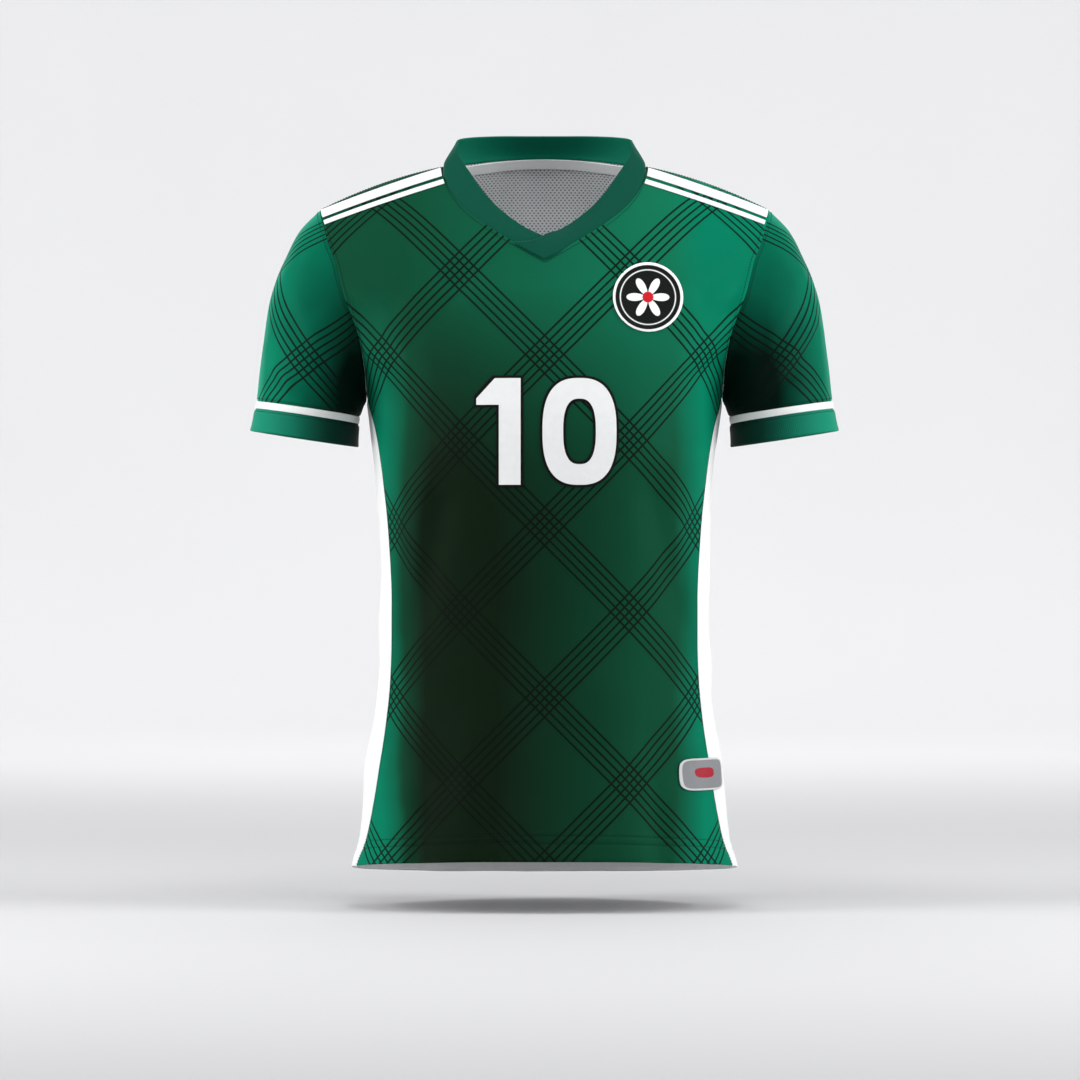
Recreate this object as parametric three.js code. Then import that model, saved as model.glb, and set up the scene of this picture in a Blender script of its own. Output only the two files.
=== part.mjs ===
// A football jersey, filled out as if it were worn, with nobody in it.
// Millimetres, +Z up. The front faces -Y, and +X is the wearer's left side.
// The origin lies midway between the shoulders, at the height of the two neck points.
import * as THREE from "three";

// Thicknesses and gaps of the cloth
const PANEL_THICKNESS = 1.2;
const CUFF_THICKNESS = 1.8;
const COLLAR_THICKNESS = 2.0;
const TAPE_THICKNESS = 1.0;
const SEAM_GAP = 0.36;
const SLEEVE_EASE = 0.2;
const LAYER_GAP = 0.5;

// The shoulder line, from the neck point out to the tip of the shoulder
const NECK_POINT = { x: 102, z: 5 };
const SHOULDER_TIP_X = 224;
const SHOULDER_SLOPE = 0.2;
const SHOULDER_BEND = 0.00125;

// How the cloth rounds over the shoulders and across the body
const CROWN_DROP = 110;
const CROWN_BLUR = 16;
const CROWN_BLUR_WEIGHTS = [1, 2, 3, 2, 1];
const CROWN_BLUR_DROP = 60;
const FRONT_CROWN_BEND = 0.0033;
const BACK_CROWN_RISE = 55;
const BACK_CROWN_POWER = 1.5;
const OVAL_POWER = 2.2;

// The neckline: the front's point, the two handles of its curve, and the rise at the back
const FRONT_NECK = { x: 0, z: -92 };
const FRONT_NECK_HANDLES = [
  { x: 45, z: -66 },
  { x: 100, z: -40 },
];
const BACK_NECK_RISE = 14;
// Above 1, the columns of the front neckline crowd towards the neck point
const FRONT_NECK_CROWDING = 1.5;

// The hem lies in a plane that drops towards the back
const HEM_MIDDLE_Z = -694.5;
const HEM_DROP_PER_DEPTH = 0.105;

// The armhole hangs from the shoulder's tip to this height, and the side panel takes its lowest arc
const ARMHOLE_BOTTOM_Z = -230;
const UNDERARM_ANGLE = THREE.MathUtils.degToRad(160);
// The side panel's rows keep level up to its last stretch, where they dip to follow the underarm
const UNDERARM_DIP_POWER = 4;

// Half width of the body's oval at each height, and where the side seam runs on it
const BODY_WIDTHS = [
  { z: -710, reach: 194, seam: 189.5 },
  { z: -694, reach: 192.5, seam: 188 },
  { z: -668, reach: 185.5, seam: 179 },
  { z: -628, reach: 181, seam: 170.5 },
  { z: -588, reach: 178, seam: 164 },
  { z: -548, reach: 171, seam: 158 },
  { z: -508, reach: 166.5, seam: 154 },
  { z: -468, reach: 165.5, seam: 152.5 },
  { z: -428, reach: 164.5, seam: 152.5 },
  { z: -368, reach: 164.5, seam: 155.5 },
  { z: -308, reach: 168, seam: 161.5 },
  { z: -258, reach: 174.5, seam: 169 },
  { z: -224, reach: 179, seam: 177.4 },
  { z: -201, reach: 188, seam: 178.8 },
  { z: -173, reach: 203, seam: 183 },
  { z: -147, reach: 221, seam: 191 },
  { z: -127, reach: 238, seam: 198.7 },
  { z: -109, reach: 251, seam: 203.5 },
  { z: -91, reach: 276, seam: 208 },
  { z: -76, reach: 307, seam: 214 },
  { z: -56, reach: 374, seam: 220 },
  { z: -39, reach: 480, seam: 224 },
  { z: 20, reach: 700, seam: 224 },
];

// Depth of the body's oval in front of and behind the shoulders' plane
const BODY_DEPTHS = [
  { z: -715, front: 114, back: 112 },
  { z: -650, front: 111, back: 108 },
  { z: -550, front: 107, back: 98 },
  { z: -450, front: 108, back: 92 },
  { z: -350, front: 116, back: 98 },
  { z: -250, front: 122, back: 106 },
  { z: -200, front: 117, back: 110 },
  { z: -150, front: 104, back: 110 },
  { z: -90, front: 82, back: 103 },
  { z: -40, front: 66, back: 92 },
  { z: 19, front: 58, back: 88 },
];

// Sections of a sleeve, by the length along its outer edge
const SLEEVE_SECTIONS = [
  { along: 0, outerX: 224, outerZ: -38, innerX: 177, innerZ: -230, halfDepth: 58 },
  { along: 30, outerX: 245, outerZ: -60, innerX: 179, innerZ: -232.5, halfDepth: 61 },
  { along: 59, outerX: 258.5, outerZ: -86, innerX: 180.5, innerZ: -235, halfDepth: 64 },
  { along: 83, outerX: 268, outerZ: -108, innerX: 181.6, innerZ: -238, halfDepth: 66 },
  { along: 110, outerX: 275.5, outerZ: -134, innerX: 182.6, innerZ: -240.5, halfDepth: 66 },
  { along: 144, outerX: 280.5, outerZ: -168, innerX: 183.5, innerZ: -242.5, halfDepth: 64 },
  { along: 175, outerX: 284.5, outerZ: -198, innerX: 184, innerZ: -244, halfDepth: 61.5 },
  { along: 206, outerX: 288, outerZ: -229.5, innerX: 184.6, innerZ: -245.3, halfDepth: 59 },
  { along: 213, outerX: 289.4, outerZ: -236.2, innerX: 185.1, innerZ: -252, halfDepth: 58.5 },
  { along: 235, outerX: 294, outerZ: -258, innerX: 186.2, innerZ: -274.3, halfDepth: 57 },
];
const SLEEVE_END = 206;
const CUFF_STRIPE_END = 213;
const CUFF_END = 235;
// The folds of the front and the back fade out this close to the sleeve's outer and inner edges
const SLEEVE_FOLD_FADE = 30;

// Top edge of the collar: station 0 is the front's point, 1 the shoulder, 2 the middle of the back
const COLLAR_TOP = [
  { station: 0, x: 0, y: -67, z: -68.3 },
  { station: 0.25, x: 20, y: -61, z: -58.5 },
  { station: 0.5, x: 51, y: -50, z: -34 },
  { station: 0.75, x: 73, y: -32, z: -5 },
  { station: 1, x: 88, y: 0, z: 22 },
  { station: 1.25, x: 88, y: 21, z: 33 },
  { station: 1.5, x: 65, y: 40, z: 38 },
  { station: 1.75, x: 35, y: 50, z: 39.7 },
  { station: 2, x: 0, y: 53, z: 40 },
];
const COLLAR_BULGE = 2.5;
// Past the front's point the upper end narrows to this share of its width, and it climbs over this length
const LAP_TIP_SHARE = 0.05;
const LAP_CLIMB_LENGTH = 30;

// Folds that lie on the front and the back: a soft ridge, or a trough where the depth is negative
const FRONT_FOLDS = [
  { fromX: -126, fromZ: -318, toX: -151, toZ: -470, width: 17, depth: 4 },
  { fromX: -100, fromZ: -335, toX: -124, toZ: -450, width: 15, depth: -3.5 },
  { fromX: 130, fromZ: -300, toX: 155, toZ: -455, width: 17, depth: 4 },
  { fromX: 106, fromZ: -330, toX: 132, toZ: -440, width: 15, depth: -3.5 },
  { fromX: -214, fromZ: -84, toX: -150, toZ: -132, width: 13, depth: -3.5 },
  { fromX: 216, fromZ: -80, toX: 156, toZ: -124, width: 13, depth: -3.5 },
  { fromX: -182, fromZ: -205, toX: -118, toZ: -262, width: 15, depth: -4 },
  { fromX: 182, fromZ: -200, toX: 128, toZ: -270, width: 15, depth: -4 },
  { fromX: -168, fromZ: -572, toX: -96, toZ: -604, width: 14, depth: -3 },
  { fromX: 172, fromZ: -532, toX: 112, toZ: -568, width: 14, depth: -3 },
  { fromX: -72, fromZ: -560, toX: -84, toZ: -730, width: 24, depth: 3.5 },
  { fromX: 62, fromZ: -520, toX: 78, toZ: -730, width: 26, depth: 4 },
  { fromX: -250, fromZ: -215, toX: -196, toZ: -236, width: 11, depth: 3 },
  { fromX: 272, fromZ: -160, toX: 196, toZ: -232, width: 12, depth: 4 },
];
const BACK_FOLDS = [
  { fromX: -120, fromZ: -330, toX: -146, toZ: -480, width: 18, depth: 4 },
  { fromX: 124, fromZ: -310, toX: 150, toZ: -450, width: 18, depth: 4 },
  { fromX: -92, fromZ: -390, toX: -60, toZ: -520, width: 20, depth: -4 },
  { fromX: 88, fromZ: -370, toX: 52, toZ: -500, width: 20, depth: -4.5 },
  { fromX: -212, fromZ: -90, toX: -140, toZ: -150, width: 14, depth: -4 },
  { fromX: 214, fromZ: -84, toX: 148, toZ: -140, width: 14, depth: -4 },
  { fromX: -182, fromZ: -208, toX: -110, toZ: -280, width: 16, depth: -4.5 },
  { fromX: 182, fromZ: -200, toX: 116, toZ: -268, width: 16, depth: -4.5 },
  { fromX: -40, fromZ: -560, toX: -58, toZ: -740, width: 26, depth: 4 },
  { fromX: 84, fromZ: -540, toX: 96, toZ: -740, width: 26, depth: 4 },
  { fromX: 262, fromZ: -170, toX: 196, toZ: -234, width: 13, depth: 4 },
  { fromX: -266, fromZ: -150, toX: -200, toZ: -226, width: 13, depth: 3.5 },
];

// Tapes along the shoulder: drop of each edge below the shoulder line, and their bow in the middle
const SHOULDER_TAPES = [
  { name: "broad", top: 2.5, bottom: 11.5, strips: 3 },
  { name: "narrow", top: 15.5, bottom: 20, strips: 2 },
];
const SHOULDER_TAPE_BOW = 3.5;
const SHOULDER_TAPE_END_GAP = 1.6;

// Tape inside the back of the neck: its edges as shares of the back's two uppermost strips of cloth
const NECK_TAPE = { top: 0.8, bottom: 0.5 };

// Badge and label, by the middle of each and its size on the cloth
const BADGE = { x: 101.5, z: -129.5, radius: 34, thickness: 1.2 };
const HEM_LABEL = { z: -599.5, height: 31, from: 46, to: 77, corner: 5, thickness: 1.2, lift: 0.8 };

// Number of strips that each stretch of cloth is divided into
const SHOULDER_COLUMNS = 6;
const FRONT_NECK_COLUMNS = 7;
const BACK_NECK_COLUMNS = 6;
const SIDE_SEAM_ROWS = 14;
const ARMHOLE_ROWS = 10;
const UNDERARM_COLUMNS = 4;
const SLEEVE_ROWS = 8;
const CUFF_ROWS = 2;
const COLLAR_ROWS = 3;
const LAP_COLUMNS = 2;
const TAPE_COLUMNS = 10;
const PATCH_RINGS = 3;
const PATCH_SIDES = 24;

// Small steps and tolerances of the construction
const NORMAL_STEP = 0.5;
const SAME_POINT = 1e-4;
const SAME_LENGTH_RATIO = 1.001;
const SEAM_KEY_STEP = 0.01;
const HALVING_PASSES = 40;
const BODY_AXIS_TOP_Z = -60;

const COLOURS = {
  green: 0x0a6a4c,
  collarGreen: 0x04553d,
  white: 0xf2f4f3,
  grey: 0xb5b7b8,
  badge: 0x16241c,
};

const { lerp, clamp, smoothstep } = THREE.MathUtils;

// A smooth curve through two columns of a table, which never runs past a row
function curveThrough(rows, from, to) {
  const at = rows.map((row) => row[from]);
  const value = rows.map((row) => row[to]);
  const last = rows.length - 1;
  const rise = at.slice(1).map((_, i) => (value[i + 1] - value[i]) / (at[i + 1] - at[i]));
  const slope = at.map((_, i) => {
    if (i === 0) return rise[0];
    if (i === last) return rise[last - 1];
    const before = rise[i - 1];
    const after = rise[i];
    return before * after <= 0 ? 0 : (2 * before * after) / (before + after);
  });
  return (place) => {
    const x = clamp(place, at[0], at[last]);
    let i = 0;
    while (i < last - 1 && x > at[i + 1]) i += 1;
    const step = at[i + 1] - at[i];
    const t = (x - at[i]) / step;
    const blend = t * t * (3 - 2 * t);
    const leave = step * slope[i] * t * (1 - t) * (1 - t);
    const arrive = step * slope[i + 1] * t * t * (1 - t);
    return lerp(value[i], value[i + 1], blend) + leave - arrive;
  };
}

const reachAt = curveThrough(BODY_WIDTHS, "z", "reach");
const seamAt = curveThrough(BODY_WIDTHS, "z", "seam");

// Height of the shoulder line over x; inside the neck points it is the line that shapes the crown
function shoulderLine(x) {
  const out = Math.abs(x) - NECK_POINT.x;
  return NECK_POINT.z - SHOULDER_SLOPE * out - SHOULDER_BEND * out * out;
}

function frontCrown(x) {
  const inside = NECK_POINT.x - Math.abs(x);
  if (inside <= 0) return shoulderLine(x);
  return NECK_POINT.z + SHOULDER_SLOPE * inside + FRONT_CROWN_BEND * inside * inside;
}

function backCrown(x) {
  const inside = NECK_POINT.x - Math.abs(x);
  if (inside <= 0) return shoulderLine(x);
  const share = (x / NECK_POINT.x) ** 2;
  return NECK_POINT.z + SHOULDER_SLOPE * inside * share + BACK_CROWN_RISE * (1 - share) ** BACK_CROWN_POWER;
}

// The two faces of the body: which way each looks, how deep it is and what folds it has
const FRONT = {
  sign: -1,
  crown: frontCrown,
  depthAt: curveThrough(BODY_DEPTHS, "z", "front"),
  folds: FRONT_FOLDS,
};
const BACK = {
  sign: 1,
  crown: backCrown,
  depthAt: curveThrough(BODY_DEPTHS, "z", "back"),
  folds: BACK_FOLDS,
};

// How far the folds lift the cloth at (x, z): each is highest along its own line and fades to its sides
function foldHeight(folds, x, z) {
  let height = 0;
  for (const fold of folds) {
    const runX = fold.toX - fold.fromX;
    const runZ = fold.toZ - fold.fromZ;
    const along = ((x - fold.fromX) * runX + (z - fold.fromZ) * runZ) / (runX * runX + runZ * runZ);
    const share = clamp(along, 0, 1);
    const away = Math.hypot(x - fold.fromX - share * runX, z - fold.fromZ - share * runZ);
    height += fold.depth * Math.exp(-((away / fold.width) ** 2));
  }
  return height;
}

// The crown's line over x, which is blurred sideways the further the cloth hangs below it
function crownOver(face, x, z) {
  const line = face.crown(x);
  const middle = (CROWN_BLUR_WEIGHTS.length - 1) / 2;
  let sum = 0;
  let total = 0;
  CROWN_BLUR_WEIGHTS.forEach((weight, i) => {
    sum += weight * face.crown(x + CROWN_BLUR * (i - middle));
    total += weight;
  });
  return lerp(line, sum / total, smoothstep(line - z, 0, CROWN_BLUR_DROP));
}

// Distance of a face from the shoulders' plane: an oval across, rounded off at the shoulder line
function faceDepth(face, x, z) {
  const below = Math.max(crownOver(face, x, z) - z, 0);
  const left = 1 - Math.min(below / CROWN_DROP, 1);
  const crown = Math.sqrt(1 - left * left);
  const across = Math.min(Math.abs(x) / reachAt(z), 1);
  const oval = (1 - across ** OVAL_POWER) ** (1 / OVAL_POWER);
  return crown * (face.depthAt(z) * oval + foldHeight(face.folds, x, z));
}

function facePoint(face, x, z) {
  return new THREE.Vector3(x, face.sign * faceDepth(face, x, z), z);
}

function hemHeight(y) {
  return HEM_MIDDLE_Z - HEM_DROP_PER_DEPTH * y;
}

// Heights of the rows at the side of the body: up the side seam, then up the armhole
const ARMHOLE_TOP_Z = shoulderLine(SHOULDER_TIP_X);
const ARMHOLE_MIDDLE_Z = (ARMHOLE_TOP_Z + ARMHOLE_BOTTOM_Z) / 2;
const ARMHOLE_HALF = (ARMHOLE_TOP_Z - ARMHOLE_BOTTOM_Z) / 2;

function armholeHeight(angle) {
  return ARMHOLE_MIDDLE_Z + ARMHOLE_HALF * Math.cos(angle);
}

const SEAM_TOP_Z = armholeHeight(UNDERARM_ANGLE);
const ARMHOLE_ANGLES = Array.from(
  { length: ARMHOLE_ROWS + 1 },
  (_, k) => UNDERARM_ANGLE * (1 - k / ARMHOLE_ROWS),
);

function sideHeights(face) {
  const seamX = seamAt(HEM_MIDDLE_Z);
  const bottom = hemHeight(face.sign * faceDepth(face, seamX, HEM_MIDDLE_Z));
  const heights = [];
  for (let k = 0; k < SIDE_SEAM_ROWS; k += 1) {
    heights.push(lerp(bottom, SEAM_TOP_Z, k / SIDE_SEAM_ROWS));
  }
  return heights.concat(ARMHOLE_ANGLES.map(armholeHeight));
}

// A point of a face's side edge, which is the side seam and then the armhole seam
function sideEdgePoint(face, side, z) {
  return facePoint(face, side * seamAt(z), z);
}

// The front neckline from the neck point (share 0) to the front's point (share 1)
function frontNeckline(share) {
  const t = 1 - share ** FRONT_NECK_CROWDING;
  const [low, high] = FRONT_NECK_HANDLES;
  const weights = [(1 - t) ** 3, 3 * (1 - t) ** 2 * t, 3 * (1 - t) * t * t, t ** 3];
  const points = [FRONT_NECK, low, high, NECK_POINT];
  return {
    x: points.reduce((sum, point, i) => sum + weights[i] * point.x, 0),
    z: points.reduce((sum, point, i) => sum + weights[i] * point.z, 0),
    station: t,
  };
}

// The back neckline from the neck point (share 0) to the middle of the back (share 1)
function backNeckline(share) {
  const angle = (share * Math.PI) / 2;
  return {
    x: NECK_POINT.x * Math.cos(angle),
    z: NECK_POINT.z + BACK_NECK_RISE * Math.sin(angle) ** 2,
    station: 1 + share,
  };
}

// The top edge of half a face, as columns from the shoulder's tip to the middle line
function topEdge(neckline, neckColumns) {
  const edge = [];
  for (let j = 0; j < SHOULDER_COLUMNS; j += 1) {
    const x = lerp(SHOULDER_TIP_X, NECK_POINT.x, j / SHOULDER_COLUMNS);
    edge.push({ x, z: shoulderLine(x) });
  }
  for (let j = 0; j <= neckColumns; j += 1) edge.push(neckline(j / neckColumns));
  return edge;
}

// A face's cloth as rows from the hem up, each from the right side edge to the left one.
// A column keeps its share of the way out to the side edge: by angle at the hem, by length on top.
function facePanel(face, neckline, neckColumns) {
  const top = topEdge(neckline, neckColumns);
  const columns = top.length - 1;
  const heights = sideHeights(face);
  const lowest = heights[0];
  const highest = heights.at(-1);
  const hemX = seamAt(HEM_MIDDLE_Z);
  const hemReach = reachAt(HEM_MIDDLE_Z);
  const seamAngle = Math.asin((hemX / hemReach) ** (OVAL_POWER / 2));
  return heights.map((sideZ) => {
    const share = (sideZ - lowest) / (highest - lowest);
    const row = [];
    for (let c = 0; c <= 2 * columns; c += 1) {
      const side = c < columns ? -1 : 1;
      const j = columns - Math.abs(c - columns);
      const angle = seamAngle * (1 - j / columns);
      const hemPointX = hemReach * Math.sin(angle) ** (2 / OVAL_POWER);
      const hemZ = hemHeight(face.sign * faceDepth(face, hemPointX, HEM_MIDDLE_Z));
      const outwards = lerp(hemPointX / hemX, top[j].x / SHOULDER_TIP_X, share);
      const z = lerp(hemZ, top[j].z, share);
      row.push(facePoint(face, side * outwards * seamAt(sideZ), z));
    }
    return row;
  });
}

// Points of the underarm arc that the side panel and the sleeve share, from front to back
function underarmPoint(side, column) {
  const share = column / UNDERARM_COLUMNS;
  const face = share < 0.5 ? FRONT : BACK;
  if (column === 0 || column === UNDERARM_COLUMNS) return sideEdgePoint(face, side, SEAM_TOP_Z);
  const angle = lerp(UNDERARM_ANGLE, 2 * Math.PI - UNDERARM_ANGLE, share);
  const z = armholeHeight(angle);
  const edgeY = sideEdgePoint(face, side, SEAM_TOP_Z).y;
  const y = (edgeY * Math.abs(Math.sin(angle))) / Math.sin(UNDERARM_ANGLE);
  return new THREE.Vector3(side * ovalWidth(face, y, z), y, z);
}

// Half width of the body's oval at a given depth
function ovalWidth(face, y, z) {
  const share = Math.min(Math.abs(y) / face.depthAt(z), 1);
  return reachAt(z) * (1 - share ** OVAL_POWER) ** (1 / OVAL_POWER);
}

// A side panel as rows from the hem to the underarm, each from the front seam to the back seam
function sidePanel(side) {
  const frontHeights = sideHeights(FRONT);
  const backHeights = sideHeights(BACK);
  const rows = [];
  for (let k = 0; k < SIDE_SEAM_ROWS; k += 1) {
    const start = sideEdgePoint(FRONT, side, frontHeights[k]);
    const end = sideEdgePoint(BACK, side, backHeights[k]);
    const row = [start];
    for (let c = 1; c < UNDERARM_COLUMNS; c += 1) {
      const share = c / UNDERARM_COLUMNS;
      const y = lerp(start.y, end.y, share);
      const z = lerp(start.z, end.z, share);
      const dip = (k / SIDE_SEAM_ROWS) ** UNDERARM_DIP_POWER * (underarmPoint(side, c).z - SEAM_TOP_Z);
      row.push(new THREE.Vector3(side * ovalWidth(y < 0 ? FRONT : BACK, y, z), y, z + dip));
    }
    row.push(end);
    rows.push(row);
  }
  const top = [];
  for (let c = 0; c <= UNDERARM_COLUMNS; c += 1) top.push(underarmPoint(side, c));
  return rows.concat([top]);
}

// The ring of the armhole: from the shoulder's tip down the front, under the arm, up the back
function armholeRing(side) {
  const down = ARMHOLE_ANGLES.toReversed();
  const ring = down.map((angle) => ({
    angle,
    point: sideEdgePoint(FRONT, side, armholeHeight(angle)),
  }));
  for (let c = 1; c < UNDERARM_COLUMNS; c += 1) {
    const angle = lerp(UNDERARM_ANGLE, 2 * Math.PI - UNDERARM_ANGLE, c / UNDERARM_COLUMNS);
    ring.push({ angle, point: underarmPoint(side, c) });
  }
  for (const angle of ARMHOLE_ANGLES.slice(0, -1)) {
    const point = sideEdgePoint(BACK, side, armholeHeight(angle));
    ring.push({ angle: 2 * Math.PI - angle, point });
  }
  return ring;
}

const sleeveColumns = Object.fromEntries(
  ["outerX", "outerZ", "innerX", "innerZ", "halfDepth"].map((name) => [
    name,
    curveThrough(SLEEVE_SECTIONS, "along", name),
  ]),
);

// Middle of the sleeve's section at a length along its outer edge
function sleeveCentre(side, along) {
  const x = (sleeveColumns.outerX(along) + sleeveColumns.innerX(along)) / 2;
  const z = (sleeveColumns.outerZ(along) + sleeveColumns.innerZ(along)) / 2;
  return new THREE.Vector3(side * x, 0, z);
}

function sleeveOval(side, along, angle) {
  const centre = sleeveCentre(side, along);
  const outerX = side * sleeveColumns.outerX(along);
  const outerZ = sleeveColumns.outerZ(along);
  const x = lerp(centre.x, outerX, Math.cos(angle));
  const z = lerp(centre.z, outerZ, Math.cos(angle));
  return new THREE.Vector3(x, -sleeveColumns.halfDepth(along) * Math.sin(angle), z);
}

// A ring of the sleeve: it starts as the armhole itself and turns into an oval
function sleeveRing(side, along) {
  const centre = sleeveCentre(side, along);
  const hold = (1 - clamp(along / SLEEVE_END, 0, 1)) ** 2;
  return armholeRing(side).map(({ angle, point }) => {
    const start = sleeveOval(side, 0, angle);
    const place = sleeveOval(side, along, angle);
    place.addScaledVector(point.clone().sub(start), hold);
    const face = place.y < 0 ? FRONT : BACK;
    const open = smoothstep(Math.abs(place.y), 0, SLEEVE_FOLD_FADE) * (1 - hold);
    const lift = open * foldHeight(face.folds, place.x, place.z);
    return place.addScaledVector(place.clone().sub(centre).normalize(), lift);
  });
}

function sleeveTube(side, from, to, rowCount) {
  const rows = [];
  for (let k = 0; k <= rowCount; k += 1) rows.push(sleeveRing(side, lerp(from, to, k / rowCount)));
  return rows;
}

// Stations of half the collar, from the front's point to the middle of the back
function collarStations() {
  const stations = [];
  for (let j = FRONT_NECK_COLUMNS; j > 0; j -= 1) {
    stations.push({ face: FRONT, ...frontNeckline(j / FRONT_NECK_COLUMNS) });
  }
  for (let j = 0; j <= BACK_NECK_COLUMNS; j += 1) {
    stations.push({ face: BACK, ...backNeckline(j / BACK_NECK_COLUMNS) });
  }
  return stations;
}

const collarTop = {
  x: curveThrough(COLLAR_TOP, "station", "x"),
  y: curveThrough(COLLAR_TOP, "station", "y"),
  z: curveThrough(COLLAR_TOP, "station", "z"),
};

// One crosswise line of the collar, from its base seam (0) towards its folded top edge (1)
function collarLine(side, { face, x, z, station }, width) {
  const base = facePoint(face, side * x, z);
  const top = new THREE.Vector3(
    side * collarTop.x(station),
    collarTop.y(station),
    collarTop.z(station),
  );
  const outOfNeck = new THREE.Vector3(base.x, base.y, 0).normalize();
  const line = [];
  for (let i = 0; i <= COLLAR_ROWS; i += 1) {
    const share = (width * i) / COLLAR_ROWS;
    const point = base.clone().lerp(top, share);
    line.push(point.addScaledVector(outOfNeck, COLLAR_BULGE * Math.sin(Math.PI * share)));
  }
  return line;
}

// The collar runs from its under end, round the neck, to the end that laps over it.
// Each of its lines says how far it is raised, from 0 on the panels to 1 on the under end.
function collarBand() {
  const half = collarStations();
  const under = half.map((place) => ({ points: collarLine(-1, place, 1), raised: 0 }));
  const over = half.slice(0, -1).map((place) => {
    const climb = place.station < 1 ? clamp(1 - place.x / LAP_CLIMB_LENGTH, 0, 1) : 0;
    return { points: collarLine(1, place, 1), raised: smoothstep(climb, 0, 1) };
  });
  const lap = [];
  for (let k = 1; k <= LAP_COLUMNS; k += 1) {
    const share = k / LAP_COLUMNS;
    const place = { face: FRONT, ...frontNeckline(1 - share / FRONT_NECK_COLUMNS) };
    const width = lerp(1, LAP_TIP_SHARE, share);
    lap.push({ points: collarLine(-1, place, width), raised: 1 });
  }
  return [...under, ...over.reverse(), ...lap];
}

// Unit normals of a sheet of points, from the directions along and across it
function sheetNormals(rows, closed) {
  const lastRow = rows.length - 1;
  const count = rows[0].length;
  const wrap = (c) => (closed ? (c + count) % count : clamp(c, 0, count - 1));
  return rows.map((row, r) =>
    row.map((_, c) => {
      const up = rows[Math.min(r + 1, lastRow)][c].clone().sub(rows[Math.max(r - 1, 0)][c]);
      const across = row[wrap(c + 1)].clone().sub(row[wrap(c - 1)]);
      return up.cross(across).normalize();
    }),
  );
}

// The side a sheet's normals should point to: away from the line inside the body or the sleeve
function facingOut(rows, normals, inside) {
  let sum = 0;
  rows.forEach((row, r) =>
    row.forEach((point, c) => {
      sum += normals[r][c].dot(point.clone().sub(inside(point)));
    }),
  );
  if (sum >= 0) return normals;
  return normals.map((row) => row.map((normal) => normal.negate()));
}

// Seams: where sheets share a point, both edges are cut along the mean of their normals
const seamNormals = new Map();

function seamKey(point) {
  return point.toArray().map((value) => Math.round(value / SEAM_KEY_STEP)).join(" ");
}

function borderPoints(sheet) {
  const { rows, closed } = sheet;
  const border = [];
  rows.forEach((row, r) =>
    row.forEach((_, c) => {
      const endRow = r === 0 || r === rows.length - 1;
      const endColumn = !closed && (c === 0 || c === row.length - 1);
      if (endRow || endColumn) border.push([r, c]);
    }),
  );
  return border;
}

// The sheets of one section, such as the body's panels, count as one where they meet another section
function noteSeams(sheet) {
  for (const [r, c] of borderPoints(sheet)) {
    const key = seamKey(sheet.rows[r][c]);
    const sections = seamNormals.get(key) ?? new Map();
    const sum = sections.get(sheet.section) ?? new THREE.Vector3();
    sections.set(sheet.section, sum.add(sheet.normals[r][c]));
    seamNormals.set(key, sections);
  }
}

function seamNormal(point) {
  const mean = new THREE.Vector3();
  for (const sum of seamNormals.get(seamKey(point)).values()) mean.add(sum.clone().normalize());
  return mean.normalize();
}

// A sewn edge is trimmed back from its seam by half the gap, square to the seam and within the cloth.
// A sleeve's edge bends round the tight turns of the armhole, so it is eased back a little more.
function trimmed({ rows, normals, closed, sewn, ease = 0 }) {
  const lastRow = rows.length - 1;
  const count = rows[0].length;
  const wrap = (c) => (closed ? (c + count) % count : clamp(c, 0, count - 1));
  const back = (seam, normal, towards) => {
    const step = normal.clone().cross(seam).setLength(SEAM_GAP / 2 + ease);
    return step.dot(towards) < 0 ? step.negate() : step;
  };
  return rows.map((row, r) =>
    row.map((point, c) => {
      const moved = point.clone();
      const normal = normals[r][c];
      const endRow = (sewn.bottom && r === 0) || (sewn.top && r === lastRow);
      if (endRow) {
        const seam = row[wrap(c + 1)].clone().sub(row[wrap(c - 1)]);
        const next = rows[r === 0 ? 1 : lastRow - 1][c];
        moved.add(back(seam, normal, next.clone().sub(point)));
      }
      if (sewn.sides && (c === 0 || c === count - 1)) {
        const seam = rows[Math.min(r + 1, lastRow)][c].clone().sub(rows[Math.max(r - 1, 0)][c]);
        const next = row[c === 0 ? 1 : count - 2];
        moved.add(back(seam, normal, next.clone().sub(point)));
      }
      return moved;
    }),
  );
}

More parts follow.
